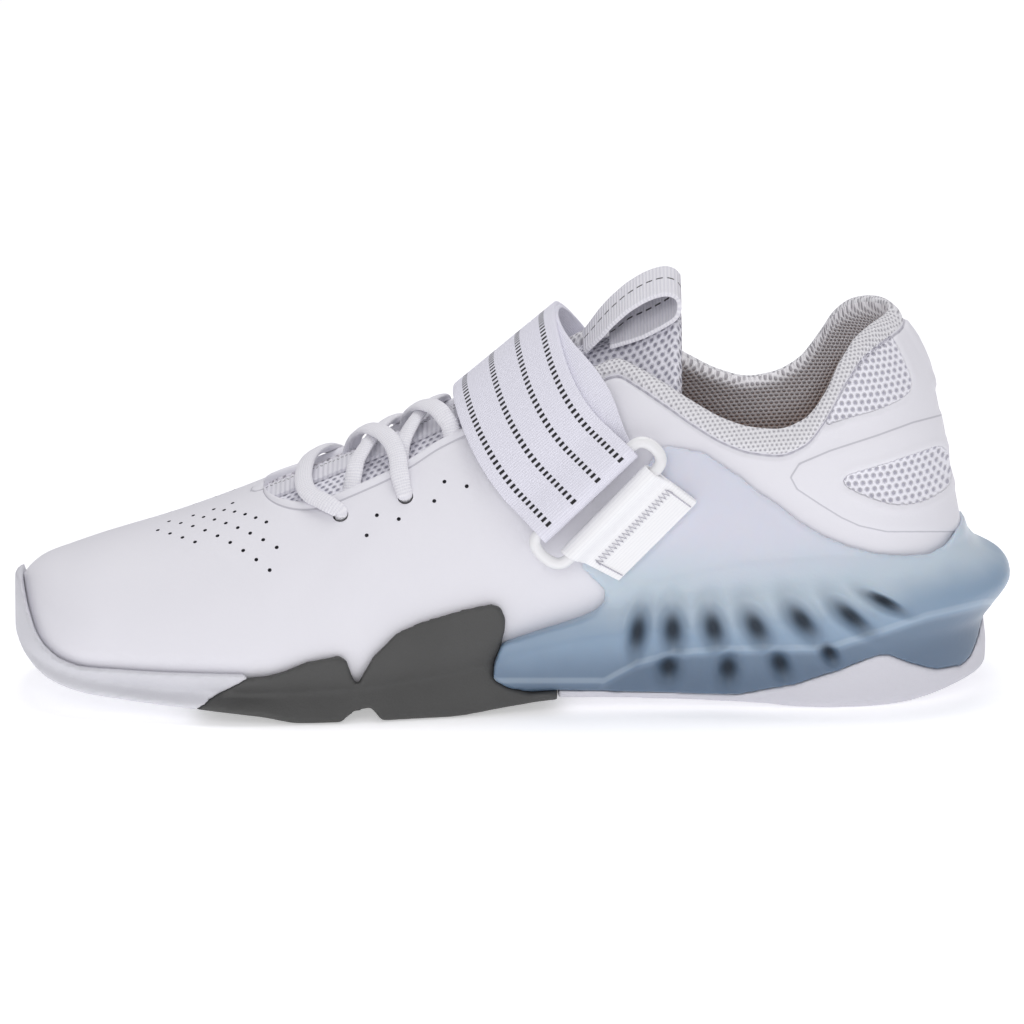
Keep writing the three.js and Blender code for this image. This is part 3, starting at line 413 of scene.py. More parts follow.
upper_rows = {side: [upper_wall(at, side) for at in STATIONS] for side in (-1, 1)}
COLUMNS = len(upper_rows[-1][0][0])
RIM_START = LOW_COLUMNS + EDGE_COLUMNS
RIM_END = RIM_START + RIM_COLUMNS + 1
points, faces, slots = [], [], []
rim_mm, window_mm, frame_mm = [], [], []
for side in (-1, 1):
    base = len(points)
    for spots, from_rim, window, way, frame_way in upper_rows[side]:
        points.extend(spots)
        frame_mm.extend(frame_way)
        rim_mm.extend(from_rim)
        window_mm.extend(window)
    for row in range(len(STATIONS) - 1):
        closed = STATIONS[row + 1] > THROAT_FRONT + 1e-9
        for column in range(COLUMNS):
            if closed and RIM_START <= column < RIM_END:
                continue
            here = base + row * COLUMNS + column
            step = 1 if column + 1 < COLUMNS else 1 - COLUMNS
            quad = [here, here + COLUMNS, here + COLUMNS + step, here + step]
            faces.append(quad if side < 0 else quad[::-1])
            collar = STATIONS[row] < 0.43
            middle = rim_mm[here]
            if column >= RIM_START + 5:
                slots.append(2)
            elif collar and middle < BINDING + 2.4:
                slots.append(1)
            else:
                slots.append(0)
upper = mesh_piece("upper_shell", points, faces)
for name, values in (("rim_mm", rim_mm), ("window_mm", window_mm), ("frame_mm", frame_mm)):
    keep_values(upper, name, values)
ways = np.concatenate([[row[3] for row in upper_rows[side]] for side in (-1, 1)]).ravel()
stations_x = np.concatenate([np.repeat(along(STATIONS), COLUMNS)] * 2)
measured(upper, "wall_mm", np.stack([stations_x, ways], -1))
upper.data.polygons.foreach_set("material_index", slots)


def colour(code):
    """An sRGB hex colour as the linear one that a shader takes."""
    parts = [int(code[i : i + 2], 16) / 255 for i in (1, 3, 5)]
    return tuple(c / 12.92 if c <= 0.04045 else ((c + 0.055) / 1.055) ** 2.4 for c in parts) + (1.0,)


def material(name, **settings):
    """A material with its shader's settings; returns the material and the shader."""
    made = bpy.data.materials.new(name)
    made.use_nodes = True
    shader = made.node_tree.nodes["Principled BSDF"]
    for key, value in settings.items():
        shader.inputs[key.replace("_", " ")].default_value = value
    return made, shader


def add(made, kind, inputs=None, out=0, **settings):
    """Adds a node with its settings and links, and returns one of its outputs."""
    node = made.node_tree.nodes.new(kind)
    for key, value in settings.items():
        setattr(node, key, value)
    for key, value in (inputs or {}).items():
        if isinstance(value, bpy.types.NodeSocket):
            made.node_tree.links.new(value, node.inputs[key])
        else:
            node.inputs[key].default_value = value
    return node.outputs[out]


def calc(made, operation, a, b=0.0):
    return add(made, "ShaderNodeMath", {0: a, 1: b}, operation=operation)


def blend_colours(made, share, a, b):
    return add(made, "ShaderNodeMix", {0: share, 6: a, 7: b}, out=2, data_type="RGBA")


def fade(made, value, low, high):
    """0 below low and 1 above high; the other way round when low is above high."""
    turned = low > high
    span = {"Value": value, "From Min": min(low, high), "From Max": max(low, high)}
    span.update({"To Min": 1.0 if turned else 0.0, "To Max": 0.0 if turned else 1.0})
    return add(made, "ShaderNodeMapRange", span, interpolation_type="SMOOTHSTEP")


def link(made, shader, socket, value):
    made.node_tree.links.new(value, shader.inputs[socket])


def grain(made, scale, detail=3.0, vector=None):
    """Noise on the object's own coordinates; scale in cells per metre."""
    place = vector or add(made, "ShaderNodeTexCoord", out=3)
    return add(made, "ShaderNodeTexNoise", {"Vector": place, "Scale": scale, "Detail": detail})


def knit(made, uv_map, pitch):
    """Distance from the nearest of a staggered grid's points, in shares of the pitch."""
    place = add(made, "ShaderNodeUVMap", uv_map=uv_map)
    parts = made.node_tree.nodes.new("ShaderNodeSeparateXYZ")
    made.node_tree.links.new(place, parts.inputs[0])
    rows = calc(made, "DIVIDE", parts.outputs[1], pitch * 0.866)
    odd = calc(made, "MULTIPLY", calc(made, "FLOORED_MODULO", calc(made, "FLOOR", rows), 2.0), 0.5)
    across = calc(made, "ADD", calc(made, "DIVIDE", parts.outputs[0], pitch), odd)
    u = calc(made, "SUBTRACT", calc(made, "FRACT", across), 0.5)
    v = calc(made, "MULTIPLY", calc(made, "SUBTRACT", calc(made, "FRACT", rows), 0.5), 0.866)
    return calc(made, "SQRT", calc(made, "ADD", calc(made, "MULTIPLY", u, u), calc(made, "MULTIPLY", v, v)))


def relief(made, shader, height, distance, strength=1.0):
    """Turns a height from 0 to 1 into a bump of so many millimetres."""
    inputs = {"Height": height, "Distance": distance * MM, "Strength": strength}
    link(made, shader, "Normal", add(made, "ShaderNodeBump", inputs))


# Polyurethane-coated microfibre: nearly white, satin, with a very fine grain of about 1 mm.
# The two windows show its carrier, an open spacer mesh with holes every 2.4 mm.
skin_white, shader = material("coated_microfibre", Roughness=0.52, IOR=1.46)
window = add(skin_white, "ShaderNodeAttribute", out=2, attribute_name="window_mm")
in_window = fade(skin_white, window, 0.1, -0.3)
cells = knit(skin_white, "wall_mm", 2.4)
# Painted shade: the mesh's holes are coloured darker for the shade inside them.
hole_shade = fade(skin_white, cells, 0.3, 0.14)
tone = blend_colours(skin_white, grain(skin_white, 18.0), colour("#ECEBF0"), colour("#E5E4EA"))
mesh_tone = blend_colours(skin_white, hole_shade, colour("#F1F0F7"), colour("#AFADBB"))
rim = add(skin_white, "ShaderNodeAttribute", out=2, attribute_name="rim_mm")


def line_at(made, value, middle, half):
    """1 where a value is within half of the middle, with soft edges."""
    off = calc(made, "ABSOLUTE", calc(made, "SUBTRACT", value, middle))
    return fade(made, off, half, half * 0.3)


place = add(skin_white, "ShaderNodeUVMap", uv_map="wall_mm")
behind = fade(skin_white, add(skin_white, "ShaderNodeSeparateXYZ", {0: place}), -94.0, -88.0)
before = calc(skin_white, "SUBTRACT", 1.0, behind)
throat_seam = calc(skin_white, "MULTIPLY", line_at(skin_white, rim, THROAT_SEAM, 0.45), before)
collar_seam = calc(skin_white, "MULTIPLY", line_at(skin_white, rim, COLLAR_SEAM, 0.6), behind)
panel = add(skin_white, "ShaderNodeAttribute", out=2, attribute_name="frame_mm")
seams_and_panel_shadow = calc(skin_white, "MAXIMUM", throat_seam, collar_seam)
# The line along the raised heel panel's edge is a painted shadow line; the throat and collar lines are
# seams.
seams_and_panel_shadow = calc(skin_white, "MAXIMUM", seams_and_panel_shadow, line_at(skin_white, panel, 0.0, 0.4))
tone = blend_colours(skin_white, calc(skin_white, "MULTIPLY", seams_and_panel_shadow, 0.45), tone, colour("#8E8C98"))
link(skin_white, shader, "Base Color", blend_colours(skin_white, in_window, tone, mesh_tone))
skin_height = calc(skin_white, "MULTIPLY", grain(skin_white, 900.0, 4.0), 0.12)
mesh_height = calc(skin_white, "MULTIPLY", fade(skin_white, cells, 0.15, 0.42), in_window)
relief(skin_white, shader, calc(skin_white, "ADD", skin_height, mesh_height), 0.5)

# Knitted binding: a soft off-white band with a pin-prick in every stitch, 1.5 mm apart.
binding_knit, shader = material("knitted_binding", Roughness=0.9, IOR=1.45)
cells = knit(binding_knit, "wall_mm", 1.5)
# Painted shade: each stitch's pin-prick is coloured darker for the shade inside it.
prick_shade = fade(binding_knit, cells, 0.3, 0.12)
tone = blend_colours(binding_knit, prick_shade, colour("#EBEAED"), colour("#ACAAB0"))
link(binding_knit, shader, "Base Color", tone)
relief(binding_knit, shader, fade(binding_knit, cells, 0.1, 0.5), 0.35)

# Spacer-mesh lining: warm grey, matt, with round holes every 1.7 mm; darker and browner low down.
lining_mesh, shader = material("spacer_mesh_lining", Roughness=0.95, IOR=1.45)
cells = knit(lining_mesh, "wall_mm", 1.7)
rim = add(lining_mesh, "ShaderNodeAttribute", out=2, attribute_name="rim_mm")
# Painted shade: the lining is darker further from the rim, deep inside the shoe, and turns browner there;
# its holes are painted darker as shade too.
inside_shade = fade(lining_mesh, rim, 10.0, 40.0)
thread = blend_colours(lining_mesh, inside_shade, colour("#FAF8FB"), colour("#B3927A"))
shade = blend_colours(lining_mesh, inside_shade, colour("#BDB9BF"), colour("#6E5B50"))
hole_shade = fade(lining_mesh, cells, 0.34, 0.16)
link(lining_mesh, shader, "Base Color", blend_colours(lining_mesh, hole_shade, thread, shade))
relief(lining_mesh, shader, fade(lining_mesh, cells, 0.15, 0.45), 0.45)

# The inside of punched holes lies in shadow on dark foam.
hole_dark, shader = material("punched_hole", Roughness=0.9, IOR=1.45)
link(hole_dark, shader, "Base Color", blend_colours(
    hole_dark, grain(hole_dark, 400.0), colour("#3A3A40"), colour("#55555C")))

for made in (skin_white, binding_knit, lining_mesh, hole_dark):
    upper.data.materials.append(made)
tidy_mesh(upper)

# Punched holes in rows over the toe, six more at the midfoot, and the eyelets.
# first hole, middle of the row, last hole in side view as seen, number of holes
PUNCHED_ROWS = (
    ((-212.6, 45.3), (-206.8, 43.7), (-200.9, 41.7), 4),
    ((-209.3, 48.0), (-194.0, 43.6), (-177.8, 33.1), 9),
    ((-201.8, 49.8), (-189.7, 46.8), (-175.7, 40.0), 8),
    ((-195.5, 51.7), (-187.3, 50.6), (-179.0, 47.7), 6),
    ((-189.7, 53.6), (-189.7, 53.6), (-189.7, 53.6), 1),
    ((-145.2, 49.9), (-141.9, 49.3), (-138.5, 48.7), 2),
    ((-148.3, 43.8), (-148.3, 43.8), (-148.3, 43.8), 1),
    ((-124.6, 60.1), (-121.2, 59.4), (-117.8, 58.7), 2),
    ((-127.7, 54.2), (-127.7, 54.2), (-127.7, 54.2), 1),
)
PUNCH_RADIUS = 0.62
PUNCH_DEPTH = 1.1
EYELET_RADIUS = 2.4
EYELET_REACH = 28.0
EYELETS = {-1: (0.661, 0.592, 0.5), 1: (0.664, 0.596, 0.549)}


def place_on_side(x, height, side):
    """The wall's point and its outward direction at a place in side view as seen."""
    at = (HEEL_BACK - x) / LAST_LENGTH
    shares, lengths = side_line(at, side)
    line = seen(skin(at, shares, side, 0))[:, 1]
    top = int(np.argmax(line))
    t = np.interp(height, line[: top + 1], shares[: top + 1])
    spot = skin(at, t, side, 0)
    outward = skin(at, t, side, 1.0) - spot
    across = skin(at + 0.004, t, side, 0) - skin(at - 0.004, t, side, 0)
    up = skin(at, min(1, t + 0.02), side, 0) - skin(at, max(0, t - 0.02), side, 0)
    normal = np.cross(across, up)
    normal *= np.sign(normal @ outward) / np.linalg.norm(normal)
    return spot, normal


def rod(spot, direction, radius, inward, outward, sides=12):
    """Points and faces of a rod along a direction."""
    helper = np.array([0, 0, 1.0]) if abs(direction[2]) < 0.9 else np.array([1.0, 0, 0])
    a = np.cross(direction, helper)
    a /= np.linalg.norm(a)
    b = np.cross(direction, a)
    turns = np.arange(sides) * 2 * math.pi / sides
    ring = [a * math.cos(q) * radius + b * math.sin(q) * radius for q in turns]
    rod_points = [spot - direction * inward + r for r in ring]
    rod_points += [spot + direction * outward + r for r in ring]
    rod_faces = [[k, (k + 1) % sides, sides + (k + 1) % sides, sides + k] for k in range(sides)]
    rod_faces += [list(range(sides))[::-1], list(range(sides, 2 * sides))]
    return rod_points, rod_faces


def rods(name, places):
    """One mesh from many rods."""
    all_points, all_faces = [], []
    for place in places:
        rod_points, rod_faces = rod(*place)
        all_faces += [[len(all_points) + k for k in face] for face in rod_faces]
        all_points += rod_points
    return tidy_mesh(mesh_piece(name, all_points, all_faces))


punches, taken = [], []
for first, middle, last, count in PUNCHED_ROWS:
    first, middle, last = (np.array(p) for p in (first, middle, last))
    for k in range(count):
        q = k / max(1, count - 1)
        bent = first * (1 - q) ** 2 + (2 * middle - (first + last) / 2) * 2 * q * (1 - q) + last * q * q
        for side in (-1, 1):
            spot, normal = place_on_side(bent[0], bent[1], side)
            if all(np.linalg.norm(spot - other) > 3 for other in taken):
                taken.append(spot)
                punches.append((spot, normal, PUNCH_RADIUS, PUNCH_DEPTH, 3.0))


def top_normal(at, y):
    """The outward direction on top of the last above a place in plan."""
    here = top_point(at, y, 0)
    normal = np.cross(top_point(at - 0.01, y, 0) - here, top_point(at, y + 1, 0) - here)
    return normal * np.sign(normal[2]) / np.linalg.norm(normal)


eyelet_places = {}
for side in (-1, 1):
    for number, at in enumerate(EYELETS[side]):
        y = BALL_WIDTH * float(ridge_line(at)) + side * EYELET_REACH
        spot, normal = top_point(at, y, 0), top_normal(at, y)
        eyelet_places[number, side] = (spot, normal)
        punches.append((spot, normal, EYELET_RADIUS, 6.0, 5.0, 24))
punch_tool = rods("punch_tool", punches)
for made in (skin_white, binding_knit, lining_mesh, hole_dark):
    punch_tool.data.materials.append(made)
punch_tool.data.polygons.foreach_set("material_index", [3] * len(punch_tool.data.polygons))
carve(upper, punch_tool)
smooth(upper, 50)
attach(upper, "root")
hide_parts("upper")

# Insole: a moulded foam footbed under an orange-brown knit, glued into the upper.
INSOLE_DEEP = 2.85


def slab(name, outer, inner, uv_name):
    """A closed piece between two grids of points, with its grid lengths in mm as a UV map."""
    outer, inner = np.array(outer), np.array(inner)
    count, wide = outer.shape[:2]
    grids = np.concatenate([outer.reshape(-1, 3), inner.reshape(-1, 3)])
    second = count * wide
    slab_faces = []
    for i in range(count - 1):
        for j in range(wide - 1):
            a = i * wide + j
            slab_faces.append([a, a + wide, a + wide + 1, a + 1])
            slab_faces.append([second + a, second + a + 1, second + a + wide + 1, second + a + wide])
    for i in range(count - 1):
        for j in (0, wide - 1):
            a = i * wide + j
            slab_faces.append([a, a + wide, second + a + wide, second + a])
    for j in range(wide - 1):
        for a in (j, (count - 1) * wide + j):
            slab_faces.append([a, a + 1, second + a + 1, second + a])
    piece = mesh_piece(name, grids, slab_faces)
    middle = wide // 2
    far = running(outer[:, middle])
    across = np.linalg.norm(np.diff(outer, axis=1), axis=2)
    across = np.concatenate([np.zeros((count, 1)), np.cumsum(across, axis=1)], axis=1)
    across -= across[:, middle : middle + 1]
    lengths = np.stack([np.repeat(far[:, None], wide, 1), across], -1).reshape(-1, 2)
    lengths = np.concatenate([lengths, lengths])
    measured(piece, uv_name, lengths)
    return tidy_mesh(piece)


insole_top, insole_under = [], []
for at in STATIONS[3:-3:2]:
    x, medial, lateral, ridge, base, crown, fullness = section(at, -INSOLE_DEEP)
    lip = side_point(at, base + 1.0, -1, -INSOLE_DEEP), side_point(at, base + 1.0, 1, -INSOLE_DEEP)
    across = np.sin(np.linspace(-1, 1, 25) * math.pi / 2)
    ys = lip[0][1] + (lip[1][1] - lip[0][1]) * (across + 1) / 2
    cup = 1.0 * np.abs(across) ** 6
    insole_top.append([(lip[0][0], y, base + 0.6 + c) for y, c in zip(ys, cup)])
    insole_under.append([(lip[0][0], y * 0.97 + (lip[0][1] + lip[1][1]) * 0.015, base - 2.4) for y in ys])
insole = slab("insole_bed", insole_top, insole_under, "bed_mm")
insole_knit, shader = material("footbed_knit", Roughness=0.95, IOR=1.45)
cells = knit(insole_knit, "bed_mm", 1.6)
# Painted shade: the knit's sunken cell centres are coloured darker.
link(insole_knit, shader, "Base Color", blend_colours(
    insole_knit, fade(insole_knit, cells, 0.2, 0.5), colour("#9B6A48"), colour("#BE8A63")))
relief(insole_knit, shader, cells, 0.3)
insole.data.materials.append(insole_knit)
smooth(insole, 60)
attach(insole, "root")
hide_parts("insole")

# Outsoles: three pieces of moulded rubber round the foot's edge. The toe is light grey, the forefoot
# dark grey with a flex notch and a low step along its side, and the heel off-white.
RUBBER_STEP = 2.8
SOLE_FIT = 0.25
MOULD_VOXEL = 0.8
GROUND_LINE = (
    (-0.06, 0.15), (-0.02, 0.12), (0.085, 0), (0.16, 0), (0.22, 0.05), (0.35, 0.106), (0.43, 0.126),
    (0.48, 0.077),
    (0.55, 0), (0.7, 0), (0.745, 0.07), (0.81, 0.135), (0.92, 0.235), (0.965, 0.32), (0.99, 0.46), (1, 0.57),
)
TOE_PROFILE = (
    (1.04, 1.2), (1.002, 1.18), (0.995, 0.97), (0.986, 0.77), (0.977, 0.66), (0.961, 0.56), (0.94, 0.51),
    (0.878, 0.5), (0.763, 0.5),
)
TOE_JOINT = ((0.759, 0.46), (0.787, 0.3), (0.817, 0.13), (0.822, -0.1))
FOREFOOT_PROFILE = (
    (0.741, 0.475), (0.722, 0.52), (0.696, 0.625), (0.662, 0.68), (0.654, 0.63), (0.649, 0.47),
    (0.643, 0.34),
    (0.638, 0.45), (0.626, 0.655), (0.601, 0.885), (0.575, 0.985), (0.531, 1.09), (0.5, 1.14),
)
CLIP_FRONT = (
    (0.491, 1.1), (0.486, 0.98), (0.487, 0.86), (0.491, 0.7), (0.498, 0.52), (0.499, 0.37), (0.484, 0.27),
    (0.46, 0.21), (0.431, 0.225),
)
GROUND_NOTCH = ((0.61, -0.1), (0.618, 0.03), (0.628, 0.14), (0.646, 0.12), (0.66, 0.02), (0.665, -0.1))
HEEL_BOUNDARY = (
    (0.431, 0.225), (0.3, 0.18), (0.238, 0.17), (0.178, 0.285), (0.142, 0.4), (0.103, 0.55), (0.09, 0.59),
    (0.08, 0.585), (0.056, 0.46), (0.03, 0.355), (0, 0.33), (-0.01, 0.4), (-0.018, 0.55), (-0.022, 0.66),
    (-0.06, 0.66),
)
SOLE_STEP = ((-190, -6.5), (-152.6, -7.8), (-147.7, -7.4), (-121.8, -5.2), (-112.9, -2.1))
ground_of = curve(GROUND_LINE)
WIDE = BALL_WIDTH


def shell(name, rings, fold):
    """A closed loft through rings of points; a fold closes each end across the ring."""
    count = len(rings[0])
    shell_points = np.concatenate(rings)
    shell_faces = []
    for i in range(len(rings) - 1):
        for j in range(count):
            k = (j + 1) % count
            shell_faces.append([i * count + j, (i + 1) * count + j, (i + 1) * count + k, i * count + k])
    for end in (0, (len(rings) - 1) * count):
        left, right = (fold - 1) % count, (fold + 1) % count
        shell_faces.append([end + left, end + fold, end + right])
        for _ in range((count - 3) // 2):
            before, after = (left - 1) % count, (right + 1) % count
            shell_faces.append([end + before, end + left, end + right, end + after])
            left, right = before, after
        if count % 2 == 0:
            shell_faces.append([end + (left - 1) % count, end + left, end + right])
    piece = mesh_piece(name, shell_points, shell_faces)
    tidy_mesh(piece, 0.0000001)
    return piece


def last_solid(offset):
    """The last as a closed solid, grown by an offset."""
    rings = []
    for at in STATIONS[1:-1]:
        fullness = fullness_of(at)
        turns = np.linspace(0.0001, math.pi / 2, 40) ** 1.2 * (math.pi / 2) ** -0.2
        shares = np.sin(turns) ** (2 / fullness)
        medial = skin(at, shares, -1, offset)
        lateral = skin(at, shares[:-1], 1, offset)[::-1]
        under = np.linspace(lateral[-1], medial[0], 12)[1:-1]
        rings.append(np.concatenate([medial, lateral, under]))
    return shell("last_tool", rings, fold=39)


def side_prism(outline):
    """A prism with its outline in side view: shares of the last's length and the heel's lift."""
    flat = np.array([(along(at), height * HEEL_LIFT) for at, height in outline])
    count = len(flat)
    near = [(x, -WIDE, z) for x, z in flat]
    far = [(x, WIDE, z) for x, z in flat]
    prism_faces = [[k, (k + 1) % count, count + (k + 1) % count, count + k] for k in range(count)]
    prism_faces += [list(range(count))[::-1], list(range(count, 2 * count))]
    return tidy_mesh(mesh_piece("side_tool", near + far, prism_faces))


def front_shell():
    """Outside of the front sole, from the ground up the sides of the last."""
    rings = []
    for at in STATIONS[(STATIONS > 0.4)][:-1]:
        x, medial, lateral, ridge, base, crown, fullness = section(at, RUBBER_STEP)
        ground = HEEL_LIFT * float(ground_of(at))
        centre = (medial + lateral) / 2
        low_x = (x + along(at)) / 2
        reach = 0.5 + 0.47 * min(1, max(0, (at - 0.88) / 0.1))
        shares = np.linspace(0.07, 1, 26) * reach
        sides = {}
        for side, edge in ((-1, medial), (1, lateral)):
            offset = np.full(shares.shape, RUBBER_STEP)
            places = seen(skin(at, shares, side, RUBBER_STEP))
            if 0.46 < at < 0.78:
                offset += 0.45 * (1 - ramp(line_distance(places, SOLE_STEP), 0.3, 1.2))
            foot = [(low_x, centre + (edge - centre) * q, ground) for q in (0.25, 0.5, 0.75, 0.95)]
            foot += [(low_x * 0.6 + x * 0.4, centre + (edge - centre) * 0.995, ground + 0.4)]
            foot += [(x, centre + (edge - centre) * 1.015, ground + 1.6)]
            sides[side] = np.concatenate([foot, skin(at, shares, side, offset)])
        top = [(x, centre, base + (crown - base) * reach)]
        rings.append(np.concatenate([[(low_x, centre, ground)], sides[-1], top, sides[1][::-1]]))
    return shell("front_shell", rings, fold=0)


def moulded(piece, voxel, rounds):
    """Rounds a cut solid's edges as a mould does: an even mesh, smoothed a little."""
    modify(piece, "REMESH", mode="VOXEL", voxel_size=voxel * MM)
    modify(piece, "SMOOTH", factor=0.5, iterations=rounds)
    piece.data.materials.clear()
    choose(piece)
    bpy.ops.object.shade_smooth()
    return piece


def sole_piece(name, body, outline, voxel=MOULD_VOXEL, rounds=3):
    body.name = name
    carve(body, side_prism(outline), "INTERSECT")
    carve(body, last_solid(SOLE_FIT))
    return moulded(body, voxel, rounds)


toe = sole_piece("toe_bumper", front_shell(), [*TOE_PROFILE, *TOE_JOINT, (1.04, -0.1)])
forefoot_outline = [*TOE_JOINT[::-1], *FOREFOOT_PROFILE, *CLIP_FRONT, (0.431, -0.1), *GROUND_NOTCH]
forefoot = sole_piece("forefoot_rubber", front_shell(), forefoot_outline)


def rubber(name, code, darker, worn=0.08):
    """Moulded rubber: matt, with a fine grain of the mould and slightly uneven colour."""
    made, shader = material(name, Roughness=0.62, IOR=1.52)
    tone = blend_colours(made, grain(made, 30.0), colour(code), colour(darker))
    link(made, shader, "Base Color", tone)
    relief(made, shader, grain(made, 1400.0, 2.0), 0.12)
    uneven = calc(made, "MULTIPLY", grain(made, 60.0), worn * 2)
    link(made, shader, "Roughness", calc(made, "ADD", uneven, 0.5))
    return made


for piece, node, slot_name, finish in (
    (toe, "outsole_toe", "toe_rubber", rubber("grey_toe_rubber", "#D9D9DE", "#D1D1D7")),
    (forefoot, "outsole_forefoot", "forefoot_rubber", rubber("dark_forefoot_rubber", "#4B4B4A", "#434342")),
):
    piece.data.materials.append(finish)
    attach(piece, "root")
    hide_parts(node)

# The rear of the sole: a level outline for each row, from the ground up to the waist.
# Heights over the ground line at front, arch, heel side and back, then side flare and reach behind.
LIP_LENGTH = 15.5
LIP_FLARE = 11.0
REAR_LEVELS = (
    (0, 0, 0, 0, -0.12, 0.15),
    (0.1, 0.08, 0.09, 0.1, 0.12, 0.5),
    (0.22, 0.27, 0.48, 0.32, 0.42, 0.52),
    (0.3, 0.47, 0.7, 0.6, 0.68, 0.47),
    (0.4, 0.66, 0.87, 0.79, 0.88, 0.68),
    (0.5, 0.8, 1.03, 1.05, 1, 1),
    (0.62, 0.96, 1.2, 1.17, 0.78, 0.9),
    (0.74, 1.12, 1.38, 1.29, 0.42, 0.42),
    (0.86, 1.28, 1.58, 1.45, 0.16, 0.11),
)


def rear_shell():
    """Outside of the rear sole."""
    front_at = 0.52
    columns = [curve([(k, row[c]) for k, row in enumerate(REAR_LEVELS)]) for c in range(6)]
    turn = np.concatenate([np.zeros(90), np.linspace(0, 0.985, 50) * math.pi / 2])
    step = np.concatenate([np.arange(90) / 90, np.ones(50)])
    round_x = HEEL_BACK - HEEL_ROUND
    rings = []
    for level in np.linspace(0, len(REAR_LEVELS) - 1, 49):
        front, arch, heel, back, flare_share, behind = (float(c(level)) for c in columns)
        heights = curve(((-0.06, back), (0.1, heel), (0.35, arch), (0.52, front)))
        back_x = HEEL_BACK + LIP_LENGTH * behind
        front_x = along(front_at)
        flat_x = front_x + (round_x - front_x) * step
        x = np.where(turn > 0, round_x + (back_x - round_x) * np.sin(turn), flat_x)
        at = (HEEL_BACK - x) / LAST_LENGTH
        flare = LIP_FLARE * flare_share * (0.3 + 0.7 * np.clip((front_at - at) / 0.28, 0, 1))
        z = HEEL_LIFT * (ground_of(at) * (1 if flare_share < 0.2 else 0.4) + heights(at))
        lines = []
        for side, edge in ((-1, medial_edge), (1, lateral_edge)):
            y = side * (BALL_WIDTH * edge(at) + flare) * np.cos(turn) ** 0.85
            lines.append(np.stack([x, y, z], -1))
        rings.append(np.concatenate([lines[0], lines[1][::-1]]))
    return shell("rear_shell", rings, fold=139)


heel = sole_piece("heel_rubber", rear_shell(), [*HEEL_BOUNDARY, (-0.06, -0.1), (0.431, -0.1)], rounds=6)
heel.data.materials.append(rubber("white_heel_rubber", "#D6D5DB", "#CDCCD3"))
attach(heel, "root")
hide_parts("outsole_heel")

# Heel clip: a wedge of translucent polyurethane under the heel, with a flared lip and wings up both
# sides. Its sides have two rows of dimples between ribs, painted dark for the shade one sees deep inside
# them.
CLIP_WALL = 1.6
CLIP_TOP = (
    (-0.08, 1.68), (-0.01, 1.68), (0.005, 1.64), (0.018, 1.55), (0.035, 1.51), (0.068, 1.55), (0.095, 1.6),
    (0.122, 1.68), (0.151, 1.8), (0.174, 1.935), (0.199, 2.12), (0.222, 2.26), (0.237, 2.39), (0.259, 2.52),
    (0.276, 2.63), (0.302, 2.68), (0.32, 2.69), (0.41, 1.7), (0.405, 1.48), (0.395, 1.37), (0.382, 1.26),
    (0.381, 1.13), (0.39, 1.04), (0.409, 0.96), (0.458, 0.82), (0.487, 0.74),
)
BELOW_WING = ((-0.1, -0.5), (-0.1, 1.2), (0.1, 1.3), (0.35, 0.95), (0.56, 0.3), (0.56, -0.5))
# at, height, tilt in degrees, tall and wide in mm
DIMPLES = (
    (0.346, 0.85, -8, 12.5, 5), (0.309, 0.88, 2, 11.5, 6), (0.266, 0.91, 14, 11.5, 6.2),
    (0.221, 0.93, 30, 12, 6.2),
    (0.172, 0.99, 40, 12.5, 5.6), (0.12, 1.03, 50, 13.5, 4.6), (0.086, 1.16, 64, 12, 2.8),
    (0.313, 0.47, -4, 8.5, 6.5), (0.25, 0.46, 0, 10, 6.2), (0.195, 0.51, 22, 9.5, 5.6),
    (0.143, 0.63, 30, 7.5, 4.4),
)
DIMPLE_DEPTH = 3.6
UNDER_RIB = ((-76, -1.5), (-66, 4.2), (-54, 7.4), (-38, 8.6), (-8, 8.8), (6, 13.2), (22, 18.6), (40, 22.5))
WAIST = curve(((-75, 25.2), (-38, 24.1), (2, 28.2), (30, 36.3), (45, 44)))

clip = rear_shell()
clip.name = "clip_wedge"
wing = last_solid(SOLE_FIT + CLIP_WALL)
carve(wing, side_prism(BELOW_WING))
carve(clip, wing, "UNION")
clip_outline = [row for row in CLIP_FRONT if row[1] < 0.75] + [*HEEL_BOUNDARY[1:]] + [*CLIP_TOP]
carve(clip, side_prism(clip_outline), "INTERSECT")
carve(clip, last_solid(SOLE_FIT))
moulded(clip, MOULD_VOXEL, 6)


def vertex_places(piece):
    values = np.zeros(len(piece.data.vertices) * 3, np.float32)
    piece.data.vertices.foreach_get("co", values)
    return values.reshape(-1, 3) / MM


def vertex_normals(piece):
    values = np.zeros(len(piece.data.vertices) * 3, np.float32)
    piece.data.vertices.foreach_get("normal", values)
    return values.reshape(-1, 3)


clip_points = vertex_places(clip)
sideways = np.clip(np.abs(vertex_normals(clip)[:, 1]) * 1.4, 0, 1)
dimple = np.full(len(clip_points), 9.0)
for at, height, tilt, tall, wide in DIMPLES:
    dx = clip_points[:, 0] - along(at)
    dz = clip_points[:, 2] - height * HEEL_LIFT
    c, s = math.cos(math.radians(tilt)), math.sin(math.radians(tilt))
    long_way = (-dx * s + dz * c) / (tall / 2)
    short_way = (dx * c + dz * s) / (wide / 2)
    dimple = np.minimum(dimple, np.sqrt(long_way**2 + short_way**2))
places = seen(clip_points)
outer_side = np.abs(clip_points[:, 1]) > 18
inward = DIMPLE_DEPTH * bump_at(dimple, 0.95) - 0.5 * bump_at(dimple - 1.75, 0.5)
inward += -0.7 * bump_at(line_distance(places, UNDER_RIB), 1.3)
inward = inward * outer_side * sideways
clip_points[:, 1] -= np.sign(clip_points[:, 1]) * inward
clip.data.vertices.foreach_set("co", (clip_points * MM).astype(np.float32).ravel())
